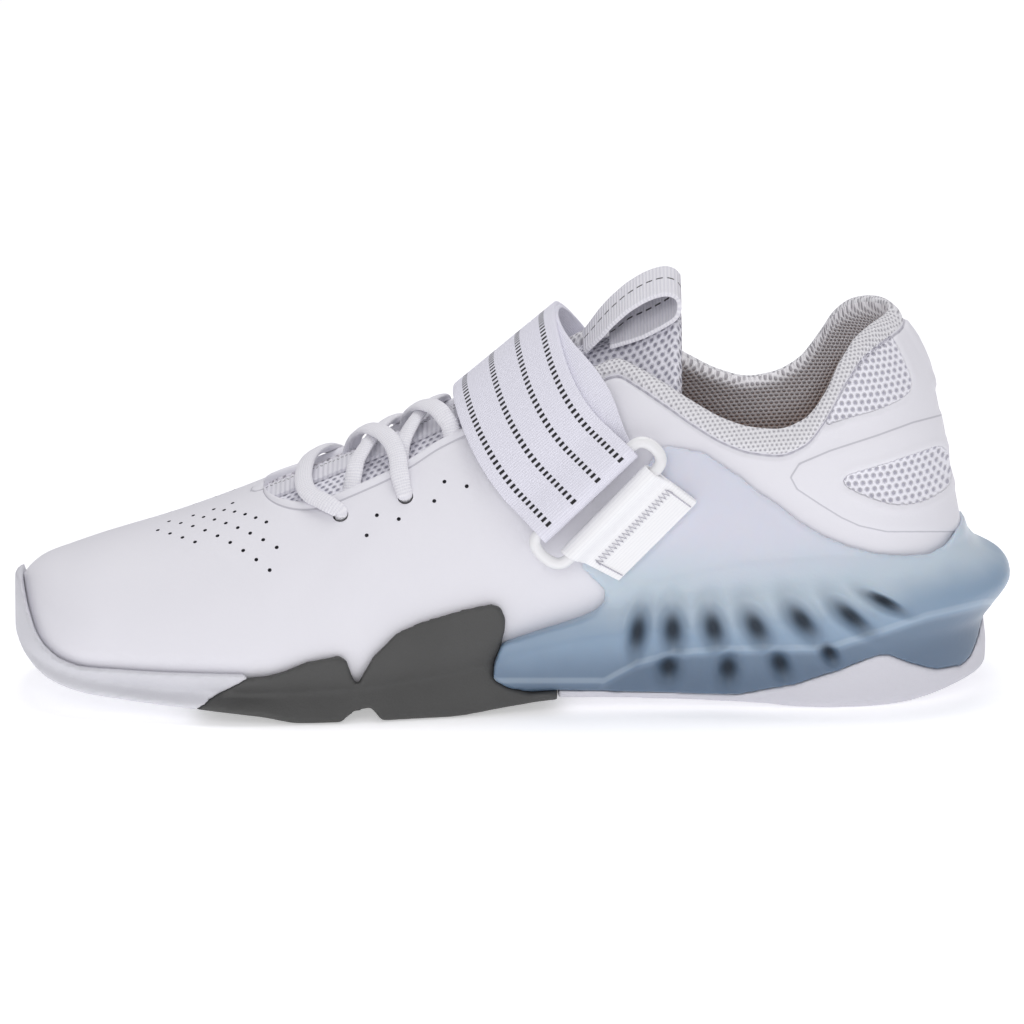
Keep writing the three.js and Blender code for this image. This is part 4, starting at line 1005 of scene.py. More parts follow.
keep_values(clip, "dimple", dimple)
below = np.interp(places[:, 0], *zip(*UNDER_RIB)) - places[:, 1]
keep_values(clip, "below_mm", below)
rise = places[:, 1] - WAIST(places[:, 0])
keep_values(clip, "rise_mm", rise)
clip.data.update()

# Cast polyurethane: milky blue-grey that is paler where it is thin over the white upper, satin. Its darker
# low part is partly painted shade, where the clip faces down.
clip_plastic, shader = material("milky_polyurethane", Roughness=0.36, IOR=1.5)
rise = add(clip_plastic, "ShaderNodeAttribute", out=2, attribute_name="rise_mm")
dimple = add(clip_plastic, "ShaderNodeAttribute", out=2, attribute_name="dimple")
cloud = grain(clip_plastic, 45.0, 2.0)
cloud = calc(clip_plastic, "MULTIPLY", calc(clip_plastic, "SUBTRACT", cloud, 0.5), 7.0)
rise = calc(clip_plastic, "ADD", rise, cloud)
# Darker towards the bottom: thicker plastic there, and partly painted shade where the clip faces down.
low_thick_and_shade = fade(clip_plastic, rise, -26.0, -12.0)
thick = blend_colours(clip_plastic, low_thick_and_shade, colour("#6D8197"), colour("#8DA3B9"))
waist = blend_colours(clip_plastic, fade(clip_plastic, rise, -13.0, 2.0), thick, colour("#C3D1DC"))
thin = blend_colours(clip_plastic, fade(clip_plastic, rise, 0.0, 22.0), waist, colour("#D6D8E6"))
# Painted shade below the rib along the clip's side, and a painted highlight along the rib's top.
below = add(clip_plastic, "ShaderNodeAttribute", out=2, attribute_name="below_mm")
shaded = calc(clip_plastic, "MULTIPLY", fade(clip_plastic, below, -0.4, 2.2), 0.5)
thin = blend_colours(clip_plastic, shaded, thin, colour("#4A5D73"))
rib_highlight = calc(clip_plastic, "MULTIPLY", line_at(clip_plastic, below, -0.9, 1.3), 0.24)
thin = blend_colours(clip_plastic, rib_highlight, thin, colour("#C9D6E0"))
# Painted shade: the dimples darken towards a nearly black middle.
dimple_rim_shade = calc(clip_plastic, "MULTIPLY", fade(clip_plastic, dimple, 2.4, 0.7), 0.55)
thin = blend_colours(clip_plastic, dimple_rim_shade, thin, colour("#4C6076"))
pit_shade = calc(clip_plastic, "MULTIPLY", fade(clip_plastic, dimple, 1.2, 0.2), 0.9)
link(clip_plastic, shader, "Base Color", blend_colours(clip_plastic, pit_shade, thin, colour("#1C2632")))
shader.inputs["Subsurface Weight"].default_value = 0.35
shader.inputs["Subsurface Radius"].default_value = (0.4, 0.7, 1.0)
shader.inputs["Subsurface Scale"].default_value = 0.004
matt = calc(clip_plastic, "MULTIPLY", pit_shade, 0.5)
link(clip_plastic, shader, "Roughness", calc(clip_plastic, "ADD", 0.36, matt))
shader.inputs["Coat Weight"].default_value = 0.08
shader.inputs["Coat Roughness"].default_value = 0.3
relief(clip_plastic, shader, grain(clip_plastic, 500.0, 2.0), 0.06)
clip.data.materials.append(clip_plastic)
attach(clip, "root")
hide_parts("heel_clip")

# Tongue: foam between two layers of spacer mesh, with a knitted binding round its edge. It comes
# from under the laces and ends free above the collar.
TONGUE_PAD = 6.0
TONGUE_HALF = 28.0
TONGUE_FRONT = 0.79
TONGUE_TOP = 0.299
TONGUE_UNDER = -WALL - 0.7
TONGUE_BINDING = 4.6
TONGUE_STAND = 3.0

tongue_top, tongue_under, tongue_edge = [], [], []
for i in np.linspace(0, 1, 110):
    at = TONGUE_FRONT + (TONGUE_TOP - TONGUE_FRONT) * i
    half = TONGUE_HALF * (0.96 - 0.04 * i)
    ridge = BALL_WIDTH * float(ridge_line(at))
    pad = TONGUE_PAD * (0.55 + 0.45 * min(1, i * 3.3))
    upper_line, lower_line = [], []
    for j in np.sin(np.linspace(-1, 1, 57) * math.pi / 2 * 0.92) / math.sin(math.pi / 2 * 0.92):
        y = half * j
        from_end = (1 - i) * (TONGUE_FRONT - TONGUE_TOP) * LAST_LENGTH
        from_edge = min(half - abs(y), from_end)
        beside = min(1, max(0, (abs(y) - COLLAR_PAD) / COLLAR_PAD)) * min(1, max(0, (0.48 - at) * 14))
        outer = TONGUE_UNDER - (COLLAR_PAD - WALL + 0.35) * beside
        thick = pad * math.sqrt(1 - (1 - min(1, max(0.001, from_edge) / 3.6)) ** 2)
        swell = 0.9 * bump_at(from_edge - 2.3, 1.8) - 0.6 * bump_at(from_edge - TONGUE_BINDING, 0.7)
        swell = swell * (at < 0.42)
        upper_line.append(top_point(at, ridge + y, outer - (pad - thick) / 2 + swell))
        lower_line.append(top_point(at, ridge + y * 0.97, outer - (pad + thick) / 2))
        tongue_edge.append(from_edge)
    stand = np.array([0, 0, TONGUE_STAND * (1 - ramp(at, TONGUE_TOP, 0.36))])
    upper_line, lower_line = np.array(upper_line) + stand, np.array(lower_line) + stand
    tongue_top.append(upper_line)
    tongue_under.append(lower_line)
tongue = slab("tongue_pad", tongue_top, tongue_under, "tongue_mm")
edge_of = dict(zip([tuple(np.round(p, 3)) for row in tongue_top for p in row], tongue_edge))
edges = [edge_of.get(tuple(np.round(p, 3)), 20.0) for p in vertex_places(tongue)]
keep_values(tongue, "edge_mm", edges)

# Spacer mesh with a round hole every 2.5 mm over white foam; its edge is bound with a knit.
tongue_mesh, shader = material("spacer_mesh_tongue", Roughness=0.9, IOR=1.45)
edge = add(tongue_mesh, "ShaderNodeAttribute", out=2, attribute_name="edge_mm")
bound = fade(tongue_mesh, edge, TONGUE_BINDING + 0.2, TONGUE_BINDING - 0.2)
open_cells = knit(tongue_mesh, "tongue_mm", 2.5)
prick_cells = knit(tongue_mesh, "tongue_mm", 1.5)
# Painted shade: the mesh's holes, over white foam, and the knit's pricks are coloured darker for the shade
# inside them.
open_hole_shade = fade(tongue_mesh, open_cells, 0.29, 0.17)
prick_shade = fade(tongue_mesh, prick_cells, 0.3, 0.12)
mesh_tone = blend_colours(tongue_mesh, open_hole_shade, colour("#EEEDF5"), colour("#9897A5"))
knit_tone = blend_colours(tongue_mesh, prick_shade, colour("#DEDDE1"), colour("#9E9CA2"))
link(tongue_mesh, shader, "Base Color", blend_colours(tongue_mesh, bound, mesh_tone, knit_tone))
relief(tongue_mesh, shader, fade(tongue_mesh, open_cells, 0.15, 0.45), 0.5)
tongue.data.materials.append(tongue_mesh)
smooth(tongue, 60)
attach(tongue, "root")
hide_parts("tongue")

# Webbing strip sewn down the middle of the tongue, ribbed across, with one line of woven dashes.
STRIP_WIDTH = 15.0
strip_top, strip_under = [], []
for at in np.linspace(0.765, 0.47, 150):
    ridge = BALL_WIDTH * float(ridge_line(at))
    rib = 0.22 * math.cos(2 * math.pi * at * LAST_LENGTH / 1.7)
    ys = np.linspace(-0.5, 0.5, 13) * STRIP_WIDTH
    edge_drop = 0.5 * (np.abs(ys) / (STRIP_WIDTH / 2)) ** 8
    strip_top.append([top_point(at, ridge + y, -WALL + 0.95 + rib - d) for y, d in zip(ys, edge_drop)])
    strip_under.append([top_point(at, ridge + y, -WALL - 0.6) for y in ys])
strip = slab("tongue_strip", strip_top, strip_under, "strip_mm")


def tape(name, uv_map, rows, base, dark, dash=(1.77, 0.88, 0.95), rib=1.1, rib_height=0.2, start=-99.0):
    """Woven tape: ribbed across its length, with rows of woven dark dashes at places across it.

    A dash is its pitch and length along the tape and its half width across it, in mm. Dashes begin
    where the tape has run as far as start.
    """
    made, shader = material(name, Roughness=0.82, IOR=1.45)
    place = add(made, "ShaderNodeUVMap", uv_map=uv_map)
    parts = made.node_tree.nodes.new("ShaderNodeSeparateXYZ")
    made.node_tree.links.new(place, parts.inputs[0])
    far, across = parts.outputs[0], parts.outputs[1]
    pitch, length, half = dash
    within = calc(made, "FRACT", calc(made, "DIVIDE", far, pitch))
    within = calc(made, "ABSOLUTE", calc(made, "SUBTRACT", within, 0.5))
    on = fade(made, within, length / pitch / 2 + 0.06, length / pitch / 2 - 0.06)
    on = calc(made, "MULTIPLY", on, calc(made, "GREATER_THAN", far, start))
    mark = None
    for row in rows:
        off = calc(made, "ABSOLUTE", calc(made, "SUBTRACT", across, row))
        this = calc(made, "MULTIPLY", fade(made, off, half + 0.08, half - 0.08), on)
        mark = this if mark is None else calc(made, "MAXIMUM", mark, this)
    wave = calc(made, "SINE", calc(made, "MULTIPLY", far, 2 * math.pi / rib))
    thread = calc(made, "SINE", calc(made, "MULTIPLY", across, 2 * math.pi / 0.55))
    weave = calc(made, "ADD", calc(made, "MULTIPLY", wave, 0.5), calc(made, "MULTIPLY", thread, 0.25))
    # Painted shade: the troughs between the ribs are coloured darker.
    shade = blend_colours(made, fade(made, weave, -0.7, 0.4), colour(dark), colour(base))
    shade = blend_colours(made, calc(made, "MULTIPLY", grain(made, 120.0), 0.25), shade, colour(dark))
    if mark is not None:
        shade = blend_colours(made, mark, shade, colour("#1D1D20"))
    link(made, shader, "Base Color", shade)
    shader.inputs["Sheen Weight"].default_value = 0.15
    relief(made, shader, weave, rib_height)
    return made


strip.data.materials.append(
    tape("ribbed_strip_webbing", "strip_mm", [1.8], "#E9E8EE", "#CFCED6", (1.5, 0.9, 0.35), 1.7, 0.05)
)
smooth(strip, 60)
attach(strip, "root")
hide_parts("tongue_webbing")

# Instep strap: one length of woven webbing. It is anchored under the lateral side, crosses the
# instep, goes through the ring's slot and folds back over itself to close on the lateral side.
WEBBING = 1.6
OVER_WING = 0.35 + CLIP_WALL + 0.35
RING_HOLE = 4.6
BAR_OFFSET = OVER_WING + WEBBING + RING_HOLE / 2
STRAP_CREST = ((0.541, 0.752), (0.434, 0.975))
STRAP_FOLD = ((0.45, 0.49), (0.352, 0.715))
STRAP_ANCHOR = ((0.44, 0.36), (0.342, 0.56))
RING_LOWER = ((0.421, 0.425), (0.327, 0.66))
TAB_END = ((0.369, 0.355), (0.281, 0.575))
UNDER_SHIFT = 0.07
FREE_END = 0.72
STRAP_WIDTH = 38.0
CREST_DROP = 1.9
STRAP_BOW = (3.2, 1.6)


def between(start, end, across, share):
    """A place between two edges in side view: share of the last's length and height in mm."""
    start, end = np.array(start), np.array(end)
    a = start[0] + (start[1] - start[0]) * across
    b = end[0] + (end[1] - end[0]) * across
    spot = a + (b - a) * share
    return float(spot[0]), float(spot[1]) * INSTEP_HEIGHT


def strap_point(end, share, across, side, offset, bow=0.0):
    crest_at, crest_z = between(STRAP_CREST, STRAP_CREST, across, 0)
    lift = crest_z - INSTEP_HEIGHT * float(crown_line(crest_at))
    at, z = between(STRAP_CREST, end, across, share)
    bow *= math.sin(math.pi * share)
    at, z = at + bow * 0.79 / LAST_LENGTH, z - bow * 0.61
    return side_point(at, z + offset * (1 - share), side, offset, lift * (1 - share * 0.5))


def bar_place(bar, share):
    at, z = between(bar, bar, share, 0)
    return side_point(at, z, -1, BAR_OFFSET)


def unit(v):
    return v / np.linalg.norm(v)


def turn_round(bar, across, radius, down, steps):
    """Half a turn of tape round a bar, from the outside to the inside."""
    at, z = between(bar, bar, across, 0)
    centre = side_point(at, z, -1, BAR_OFFSET)
    out = unit(side_point(at, z, -1, BAR_OFFSET + 1) - centre)
    down = unit(down - out * (down @ out))
    turns = np.linspace(0, math.pi, steps)
    return [centre + radius * (out * math.cos(q) + down * math.sin(q)) for q in turns]


def ribbon(name, columns, thickness, uv_name, width):
    """Tape from its middle surface: a line of points for each place across it."""
    grid = np.array(columns).transpose(1, 0, 2)
    count, wide = grid.shape[:2]
    ribbon_faces = []
    for i in range(count - 1):
        for j in range(wide - 1):
            a = i * wide + j
            ribbon_faces.append([a, a + wide, a + wide + 1, a + 1])
    piece = mesh_piece(name, grid.reshape(-1, 3), ribbon_faces)
    middle = grid[:, wide // 2]
    far = running(middle)
    across = np.linspace(0, width, wide)
    lengths = [np.repeat(far[:, None], wide, 1), np.repeat(across[None], count, 0)]
    lengths = np.stack(lengths, -1).reshape(-1, 2)
    measured(piece, uv_name, lengths)
    modify(piece, "SOLIDIFY", thickness=thickness * MM, offset=0.0)
    modify(piece, "BEVEL", width=0.35 * MM, segments=2, limit_method="ANGLE", angle_limit=math.radians(60))
    return smooth(piece, 50)


def evened(line, step):
    """A line of points with even spacing."""
    line = np.array(line)
    far = running(line)
    ticks = np.linspace(0, far[-1], step)
    return np.stack([np.interp(ticks, far, line[:, k]) for k in range(3)], -1)


strap_columns = []
for across in np.linspace(0, 1, 41):
    low, high = OVER_WING + WEBBING / 2, OVER_WING + WEBBING * 1.5 + 0.15
    bar_radius = 1.7 + WEBBING / 2 + 0.15
    line = []
    for q in np.linspace(1, 0, 60)[:-1]:
        lay = low - CREST_DROP * (1 - ramp(q**2, 0.05, 0.5))
        line.append(strap_point(STRAP_ANCHOR, q**2, across + UNDER_SHIFT * 0.4, 1, lay))
    for q in np.linspace(0, 1, 70):
        share = q**2
        shift = UNDER_SHIFT * (0.4 + 0.9 * ramp(share, 0, 0.5)) * (1 - ramp(share, 0.55, 1))
        lay = low + (BAR_OFFSET - bar_radius - low) * ramp(share, 0.7, 1)
        lay -= CREST_DROP * (1 - ramp(share, 0.05, 0.5))
        line.append(strap_point(STRAP_FOLD, share, across + shift, -1, lay))
    down = line[-1] - line[-4]
    line += turn_round(STRAP_FOLD, across, bar_radius, down, 12)[::-1]
    for q in np.linspace(1, 0, 70):
        share = q**2
        lay = high + (BAR_OFFSET + bar_radius - high) * ramp(share, 0.72, 1)
        lay -= CREST_DROP * (1 - ramp(share, 0.05, 0.5))
        line.append(strap_point(STRAP_FOLD, share, across, -1, lay, STRAP_BOW[0] + STRAP_BOW[1] * across))
    for q in np.linspace(0, FREE_END**0.5, 46)[1:]:
        lay = high - CREST_DROP * (1 - ramp(q**2, 0.05, 0.5))
        line.append(strap_point(STRAP_ANCHOR, q**2, across, 1, lay))
    strap_columns.append(evened(line, 330))
strap = ribbon("strap_tape", strap_columns, WEBBING * 0.9, "strap_mm", STRAP_WIDTH)
dash_rows = [STRAP_WIDTH * share for share in (0.12, 0.385, 0.64, 0.88)]
# The dashes are woven on one face, which the tape shows only after its fold.
middle_line = np.array(strap_columns[20])
fold_row = int(np.argmin(np.abs(middle_line - bar_place(STRAP_FOLD, 0.5)).sum(axis=1)))
fold_far = float(running(middle_line[: fold_row + 1])[-1])
strap.data.materials.append(tape(
    "dashed_strap_webbing", "strap_mm", dash_rows, "#ECEBF5", "#E0DFEA", rib=0.8, rib_height=0.08,
    start=fold_far))
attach(strap, "root")
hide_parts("strap")

# Ring: a flat loop moulded in white acetal, with round ends that stand out beside the tape.
RING_BAR = 3.4


def spline(control, steps, closed=False):
    """A smooth line through points."""
    control = np.array(control, float)
    if closed:
        control = np.concatenate([control[-1:], control, control[:2]])
    else:
        before, after = 2 * control[:1] - control[1:2], 2 * control[-1:] - control[-2:-1]
        control = np.concatenate([before, control, after])
    line = []
    for a, b, c, d in zip(control, control[1:], control[2:], control[3:]):
        for u in np.arange(steps) / steps:
            square = (2 * a - 5 * b + 4 * c - d) * u**2
            cube = (3 * b - a - 3 * c + d) * u**3
            line.append(0.5 * (2 * b + (c - a) * u + square + cube))
    if not closed:
        line.append(control[-2])
    return np.array(line)


def tube(line, ups, width, height, sides=12, closed=False, first=0):
    """Points, faces and lengths in mm of an oval tube along a line; ups are the surface's normals."""
    count = len(line)
    widths = np.broadcast_to(width, (count,))
    tube_points, tube_uv = [], []
    far = 0.0
    for i in range(count):
        ahead = line[(i + 1) % count] if closed else line[min(count - 1, i + 1)]
        behind = line[i - 1] if closed else line[max(0, i - 1)]
        way = unit(ahead - behind)
        side = unit(np.cross(way, ups[i]))
        up = np.cross(side, way)
        far += 0 if i == 0 else np.linalg.norm(line[i] - line[i - 1])
        for k in range(sides):
            q = 2 * math.pi * k / sides
            tube_points.append(line[i] + side * widths[i] / 2 * math.cos(q) + up * height / 2 * math.sin(q))
            tube_uv.append((far, q * (widths[i] + height) / 4))
    tube_faces = []
    for i in range(count if closed else count - 1):
        for k in range(sides):
            a, b = first + i * sides, first + ((i + 1) % count) * sides
            n = (k + 1) % sides
            tube_faces.append([a + k, b + k, b + n, a + n])
    if not closed:
        tube_faces.append([first + k for k in range(sides)])
        tube_faces.append([first + (count - 1) * sides + k for k in range(sides)][::-1])
    return tube_points, tube_faces, tube_uv


def tubes(name, parts, uv_name):
    """One piece from many tubes: each a line, its ups, its width and its height."""
    all_points, all_faces, all_uv = [], [], []
    for line, ups, width, height, sides, closed in parts:
        tube_points, tube_faces, tube_uv = tube(line, ups, width, height, sides, closed, len(all_points))
        all_points += tube_points
        all_faces += tube_faces
        all_uv += tube_uv
    piece = mesh_piece(name, all_points, all_faces)
    measured(piece, uv_name, all_uv)
    tidy_mesh(piece, 0)
    return smooth(piece, 60)


ring_control = [bar_place(STRAP_FOLD, share) for share in (-0.04, 0.25, 0.5, 0.75, 1.04)]
ring_control.append((bar_place(STRAP_FOLD, 1.11) + bar_place(RING_LOWER, 1.11)) / 2)
ring_control += [bar_place(RING_LOWER, share) for share in (1.04, 0.75, 0.5, 0.25, -0.04)]
ring_control.append((bar_place(STRAP_FOLD, -0.11) + bar_place(RING_LOWER, -0.11)) / 2)
ring_line = spline(ring_control, 10, closed=True)
ring_ups = [np.array([0, -1.0, 0])] * len(ring_line)
ring = tubes("slot_ring", [(ring_line, ring_ups, 3.6, RING_BAR, 16, True)], "ring_mm")
ring_acetal, shader = material("moulded_acetal", Roughness=0.32, IOR=1.48)
link(ring_acetal, shader, "Base Color", blend_colours(
    ring_acetal, grain(ring_acetal, 80.0), colour("#F2F2F2"), colour("#E9E9EB")))
ring.data.materials.append(ring_acetal)
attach(ring, "root")
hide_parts("strap_ring")

# Tab: smooth coated tape folded round the ring's lower bar and stitched down over the clip's wing.
tab_columns = []
tab_widths = np.linspace(0.03, 0.97, 31)
for across in tab_widths:
    low, high = OVER_WING + WEBBING / 2, OVER_WING + WEBBING * 1.5 + 0.1
    bar_radius = 1.7 + WEBBING / 2 + 0.1
    line = []
    for share in np.linspace(1, 0, 26):
        at, z = between(RING_LOWER, TAB_END, across, share)
        lay = low + (BAR_OFFSET - bar_radius - low) * (1 - ramp(share, 0, 0.4))
        line.append(side_point(at, z, -1, lay))
    line += turn_round(RING_LOWER, across, bar_radius, line[-1] - line[-4], 12)[::-1]
    for share in np.linspace(0, 1, 26):
        at, z = between(RING_LOWER, TAB_END, across, share)
        lay = high + (BAR_OFFSET + bar_radius - high) * (1 - ramp(share, 0, 0.34))
        line.append(side_point(at, z, -1, lay))
    tab_columns.append(evened(line, 90))
tab = ribbon("ring_tape_tab", tab_columns, WEBBING * 0.9, "tab_mm", 36.0)
tab.data.materials.append(
    tape("coated_tab_tape", "tab_mm", [], "#FAFAFB", "#F3F3F5", rib=0.9, rib_height=0.025)
)
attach(tab, "root")
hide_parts("ring_tab")

# Zigzag seam across the tab, in polyester thread 0.42 mm thick.
THREAD = 0.42
# Share along the tab and height in mm of a stitch's four points.
END_STITCH = ((0, -0.1), (0.015, 0.15), (0.035, 0.15), (0.05, -0.1))


def tab_place(share, across, lift=0.0):
    at, z = between(RING_LOWER, TAB_END, across, share)
    return side_point(at, z, -1, OVER_WING + WEBBING * 2 + 0.12 + lift)


zigzag = []
for k, across in enumerate(np.linspace(0.08, 0.92, 45)):
    zigzag.append(tab_place(0.4 if k % 2 else 0.54, across, 0.12))
zigzag = np.array(zigzag)
sides_out = [np.array([0, -1.0, 0])] * len(zigzag)
seams = [(zigzag, sides_out, THREAD, THREAD, 6, False)]
for across in (0.09, 0.91):
    for k in range(9):
        run = [tab_place(0.44 + k * 0.06 + d, across, h) for d, h in END_STITCH]
        seams.append((np.array(run), sides_out[:4], THREAD, THREAD, 6, False))

# Seam of the collar's binding: lock stitches 2.6 mm long in the groove below the band.
STITCH = 2.6
STITCH_STEP = STITCH + 0.9
for side in (-1, 1):
    groove = []
    for row, at in enumerate(STATIONS):
        if at < 0.004 or at > 0.425:
            continue
        shares, lengths = side_line(at, side)
        edge = wall_edge(at, side, shares, lengths)
        t = np.interp(edge - COLLAR_SEAM, lengths, shares)
        groove.append(skin(at, t, side, 0))
    groove = np.array(groove)
    far = running(groove)
    for k in range(int(far[-1] / STITCH_STEP)):
        start = k * STITCH_STEP
        ticks = start + STITCH * np.array([0, 0.25, 0.75, 1])
        spots = np.stack([np.interp(ticks, far, groove[:, c]) for c in range(3)], -1)
        out = unit(np.array([0, side * 1.0, 0.15]))
        spots += out * np.array([-0.9, -0.45, -0.45, -0.9])[:, None]
        seams.append((spots, [out] * 4, THREAD, THREAD, 6, False))
# Two rows of the same stitches hold the strap's lower end at the lateral side.
for share in (0.9, 0.955):
    for k in range(1, int(STRAP_WIDTH / STITCH_STEP) - 1):
        places = (k + np.array([0.5, 0.7, 1.05, 1.25])) * STITCH_STEP / STRAP_WIDTH
        depths = OVER_WING + WEBBING + np.array([-0.9, 0.15, 0.15, -0.9])
        places = places + UNDER_SHIFT * 0.4
        spots = [strap_point(STRAP_ANCHOR, share, p, 1, d) for p, d in zip(places, depths)]
        seams.append((np.array(spots), [np.array([0, 1.0, 0.15])] * 4, THREAD, THREAD, 6, False))
stitches = tubes("seam_threads", seams, "thread_mm")
thread_white, shader = material("polyester_thread", Roughness=0.7, IOR=1.5)
link(thread_white, shader, "Base Color", blend_colours(
    thread_white, grain(thread_white, 500.0), colour("#CFCDD6"), colour("#A9A7B2")))
stitches.data.materials.append(thread_white)
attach(stitches, "root")

# Laces: flat-oval knitted lace 5.8 mm wide. It enters each eyelet from outside and comes out from
# under the eyestay to cross over the tongue to the next one. Its ends run on under the strap.
LACE_WIDTH = 5.8
LACE_HEIGHT = 2.6
# Each run: near eyelet and whether it lies over it, far eyelet and whether over it, and its places
# between them: share of the last's length, mm beside the ridge, mm over the upper's surface.
LACE_RUNS = (
    (0, True, 0, True, (
        (0.672, -26.5, 2.0), (0.681, -24.5, 2.3), (0.691, -22, 2.5), (0.698, -18, 2.4), (0.701, -12, 2.1),
        (0.7, -4, 1.7), (0.697, 5, 1.5), (0.69, 14, 1.8), (0.678, 22, 2.2),
    )),
    (0, False, 1, True, (
        (0.657, -24.5, -4.4), (0.651, -20.5, -3), (0.647, -17, 0.7), (0.6445, -14, 1.8), (0.6385, -10, 2),
        (0.631, -5, 2.1), (0.6245, 1, 2.1), (0.617, 8, 2.2), (0.609, 16, 2.3), (0.601, 22.5, 2.2),
    )),
    (1, False, 2, True, (
        (0.6, -23.5, -4.2), (0.5985, -18.5, -3), (0.597, -14.5, 0.7), (0.5935, -11.5, 1.7), (0.586, -6, 2),
        (0.5785, 0, 2.1), (0.571, 7, 2.2), (0.563, 15, 2.3), (0.555, 22.5, 2.2),
    )),
    (1, True, 0, False, (
        (0.597, -25.5, 2), (0.599, -23, 2.4), (0.6005, -19.5, 2.9), (0.606, -14.5, 3.7), (0.6142, -9.5, 4.4),
        (0.6235, -4.5, 4.7), (0.633, 2, 4.4), (0.641, 9, 2.9), (0.648, 14, 1), (0.653, 19, -3),
        (0.658, 23.5, -4.4),
    )),
    (2, False, 1, False, (
        (0.536, -22, -4.2), (0.541, -17, -2.6), (0.545, -13.5, 0.9), (0.551, -11, 2.6), (0.5565, -8.5, 3.9),
        (0.565, -4.5, 4.7), (0.575, 1, 4.6), (0.583, 7, 3.4), (0.589, 13, 1.4), (0.593, 18.5, -3),
        (0.595, 23, -4.4),
    )),
)


def lace_end(number, side, over):
    """Places and normals from inside the shoe up to an eyelet's mouth."""
    spot, normal = eyelet_places[number, side]
    if not over:
        return [spot - normal * 5.4], [normal]
    inward = np.array([0, -side * 1.2, 0])
    return [spot - normal * 5, spot - normal * 1, spot + normal * 1.4 + inward], [normal] * 3


def lace_run(near, near_over, far, far_over, rows):
    """A run of lace: its smooth middle line, its normals and its width, narrower at the eyelets."""
    control, ups = lace_end(near, -1, near_over)
    for at, beside, lift in rows:
        y = BALL_WIDTH * float(ridge_line(at)) + beside
        control.append(top_point(at, y, lift))
        ups.append(top_normal(at, y))
    far_points, far_ups = lace_end(far, 1, far_over)
    line = spline(control + far_points[::-1], 7)
    up_line = [unit(u) for u in spline(ups + far_ups[::-1], 7)]
    ticks = np.arange(len(line))
    from_end = np.minimum(ticks + (0 if near_over else 99), ticks[::-1] + (0 if far_over else 99))
    widths = LACE_WIDTH * np.interp(from_end, [0, 8, 22], [0.6, 0.72, 1])
    return line, up_line, widths, LACE_HEIGHT, 16, False


runs = [lace_run(*run) for run in LACE_RUNS]
laces = tubes("lace_runs", runs, "lace_mm")
laces.data.materials.append(
    tape("knitted_lace", "lace_mm", [], "#F2F1F5", "#E4E3EA", rib=0.9, rib_height=0.09)
)
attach(laces, "root")
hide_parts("laces")

# Pull loop: ribbed tape sewn to the tongue's top, standing up in a teardrop, with woven dashes.
LOOP_WIDTH = 24.0
LOOP_THICKNESS = 1.3
# How much higher the far edge lies, how far the top is pressed down, and the lower layer's tilt, in mm.
LOOP_TILT, LOOP_PRESS, LOWER_TILT = 2.0, 2.4, 4.5
LOOP_OUTLINE = (
    (0.402, 0.912), (0.37, 1.02), (0.345, 1.07), (0.322, 1.094), (0.308, 1.091), (0.302, 1.07),
    (0.305, 1.035),
    (0.322, 1), (0.347, 0.963), (0.375, 0.932),
)
loop_ridge = BALL_WIDTH * float(ridge_line(LOOP_OUTLINE[0][0]))
loop_line = spline([(along(at), 0, height * INSTEP_HEIGHT) for at, height in LOOP_OUTLINE], 8)
loop_rows = np.linspace(0, 1, len(loop_line))
lower_share = ramp(loop_rows, 0.5, 0.7) * (1 - ramp(loop_rows, 0.9, 1))
loop_columns = []
for across in np.linspace(-0.5, 0.5, 25):
    tilt_share = np.clip((loop_line[:, 2] - loop_line[0, 2]) / 7, 0, 1)
    press = np.clip((loop_line[:, 2] - loop_line[0, 2]) / 14, 0, 1)
    column = loop_line.copy()
    column[:, 1] = loop_ridge + across * LOOP_WIDTH
    column[:, 2] += tilt_share * across * LOOP_TILT - press * LOOP_PRESS
    column[:, 2] += lower_share * (across + 0.5) * LOWER_TILT
    loop_columns.append(column)
loop = ribbon("pull_loop_tape", loop_columns, LOOP_THICKNESS, "loop_mm", LOOP_WIDTH)
loop.data.materials.append(
    tape("ribbed_loop_tape", "loop_mm", [LOOP_WIDTH * 0.56], "#F1F0F5", "#DFDEE6",
         (3.2, 2.0, 0.5), 1.1, 0.14)
)
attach(loop, "root")
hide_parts("pull_loop")

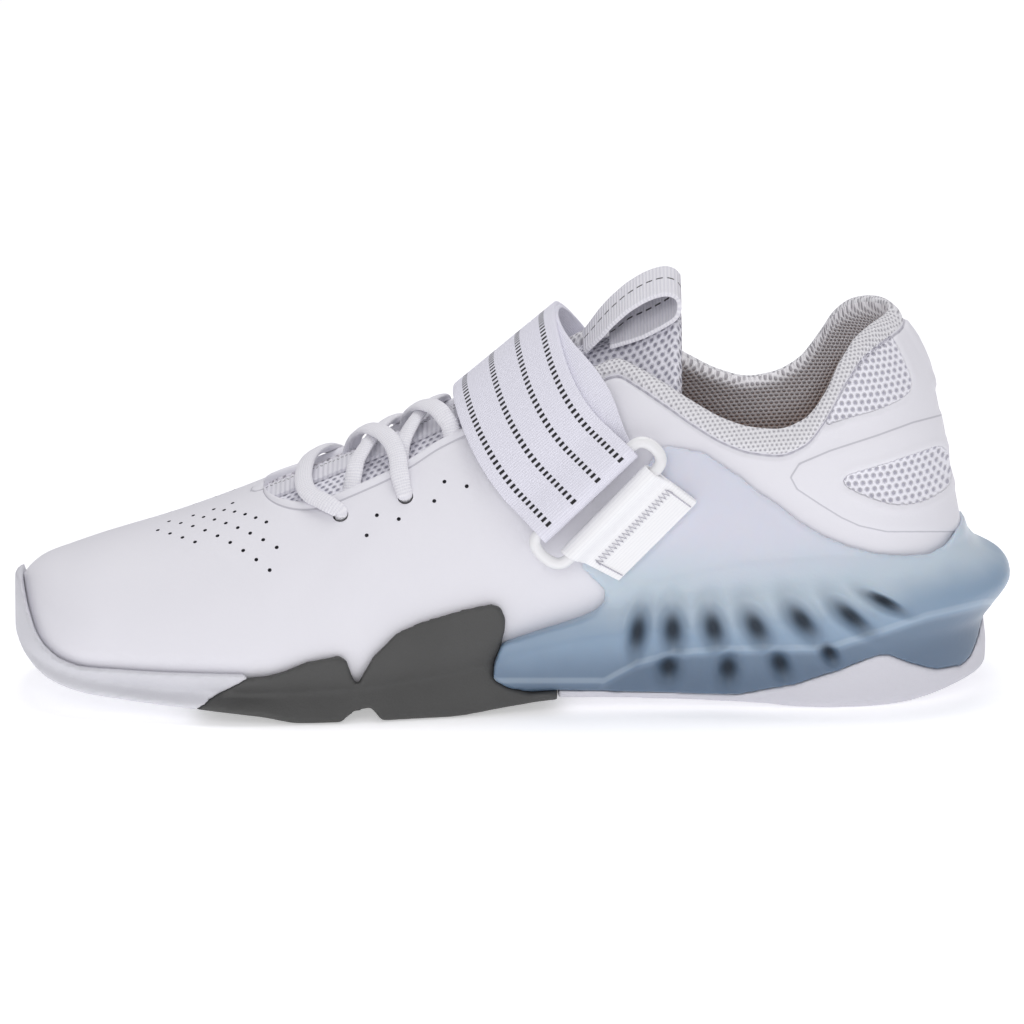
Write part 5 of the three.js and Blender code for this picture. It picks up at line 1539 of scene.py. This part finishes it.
# Floor and backdrop: one pale sweep that is lit from below too, as in a catalogue picture.
FLOOR_SIZE = 6.0
FLOOR_GLOW = 0.42
floor_points = np.array([(-1, -1, 0), (1, -1, 0), (1, 1, 0), (-1, 1, 0)]) * FLOOR_SIZE / MM / 2
floor = mesh_piece("floor", floor_points + np.array([0, 0, -0.05]), [[0, 1, 2, 3]])
floor_paper, shader = material("floor_paper", Roughness=0.9)
link(floor_paper, shader, "Base Color", blend_colours(
    floor_paper, grain(floor_paper, 3.0), colour("#F4F4F6"), colour("#F0F0F3")))
shader.inputs["Emission Color"].default_value = (1, 1, 1, 1)
shader.inputs["Emission Strength"].default_value = FLOOR_GLOW
floor.data.materials.append(floor_paper)

world = bpy.data.worlds.new("studio")
world.use_nodes = True
world.node_tree.nodes["Background"].inputs[0].default_value = (0.97, 0.96, 1, 1)
world.node_tree.nodes["Background"].inputs[1].default_value = 0.4
bpy.context.scene.world = world
bpy.context.scene.view_settings.view_transform = "Standard"


def softbox(name, place, aim, size, power):
    """A square lamp that looks at a point; places in metres."""
    lamp = bpy.data.lights.new(name, "AREA")
    lamp.size = size
    lamp.energy = power
    box = bpy.data.objects.new(name, lamp)
    bpy.context.scene.collection.objects.link(box)
    way = np.array(place) - np.array(aim)
    flat = math.hypot(way[0], way[1])
    box.location = place
    box.rotation_euler = (math.atan2(flat, way[2]), 0, math.atan2(way[0], -way[1]))
    return box


SHOE_MIDDLE = (-0.104, 0, 0.05)
softbox("key_lamp", (-0.35, -1.3, 0.75), SHOE_MIDDLE, 0.9, 5.1)
softbox("fill_lamp", (0.9, -1.0, 0.9), SHOE_MIDDLE, 1.0, 2)
softbox("top_lamp", (0.0, 0.35, 1.5), SHOE_MIDDLE, 0.9, 9)

# Camera: a long lens 16 degrees above the floor, square to the shoe's inner side.
CAMERA_DISTANCE = 3.5
PHOTO_WIDTH = 1024 / 3.25 * MM
PHOTO_CENTRE = (-0.104, 0.0, 0.0529)
lens = bpy.data.cameras.new("camera")
lens.sensor_width = 36
lens.lens = lens.sensor_width * CAMERA_DISTANCE / PHOTO_WIDTH
lens.clip_end = 50
camera = bpy.data.objects.new("camera", lens)
bpy.context.scene.collection.objects.link(camera)
camera.location = (
    PHOTO_CENTRE[0],
    -CAMERA_DISTANCE * math.cos(TILT),
    PHOTO_CENTRE[2] + CAMERA_DISTANCE * math.sin(TILT),
)
camera.rotation_euler = (math.pi / 2 - TILT, 0, 0)
bpy.context.scene.camera = camera
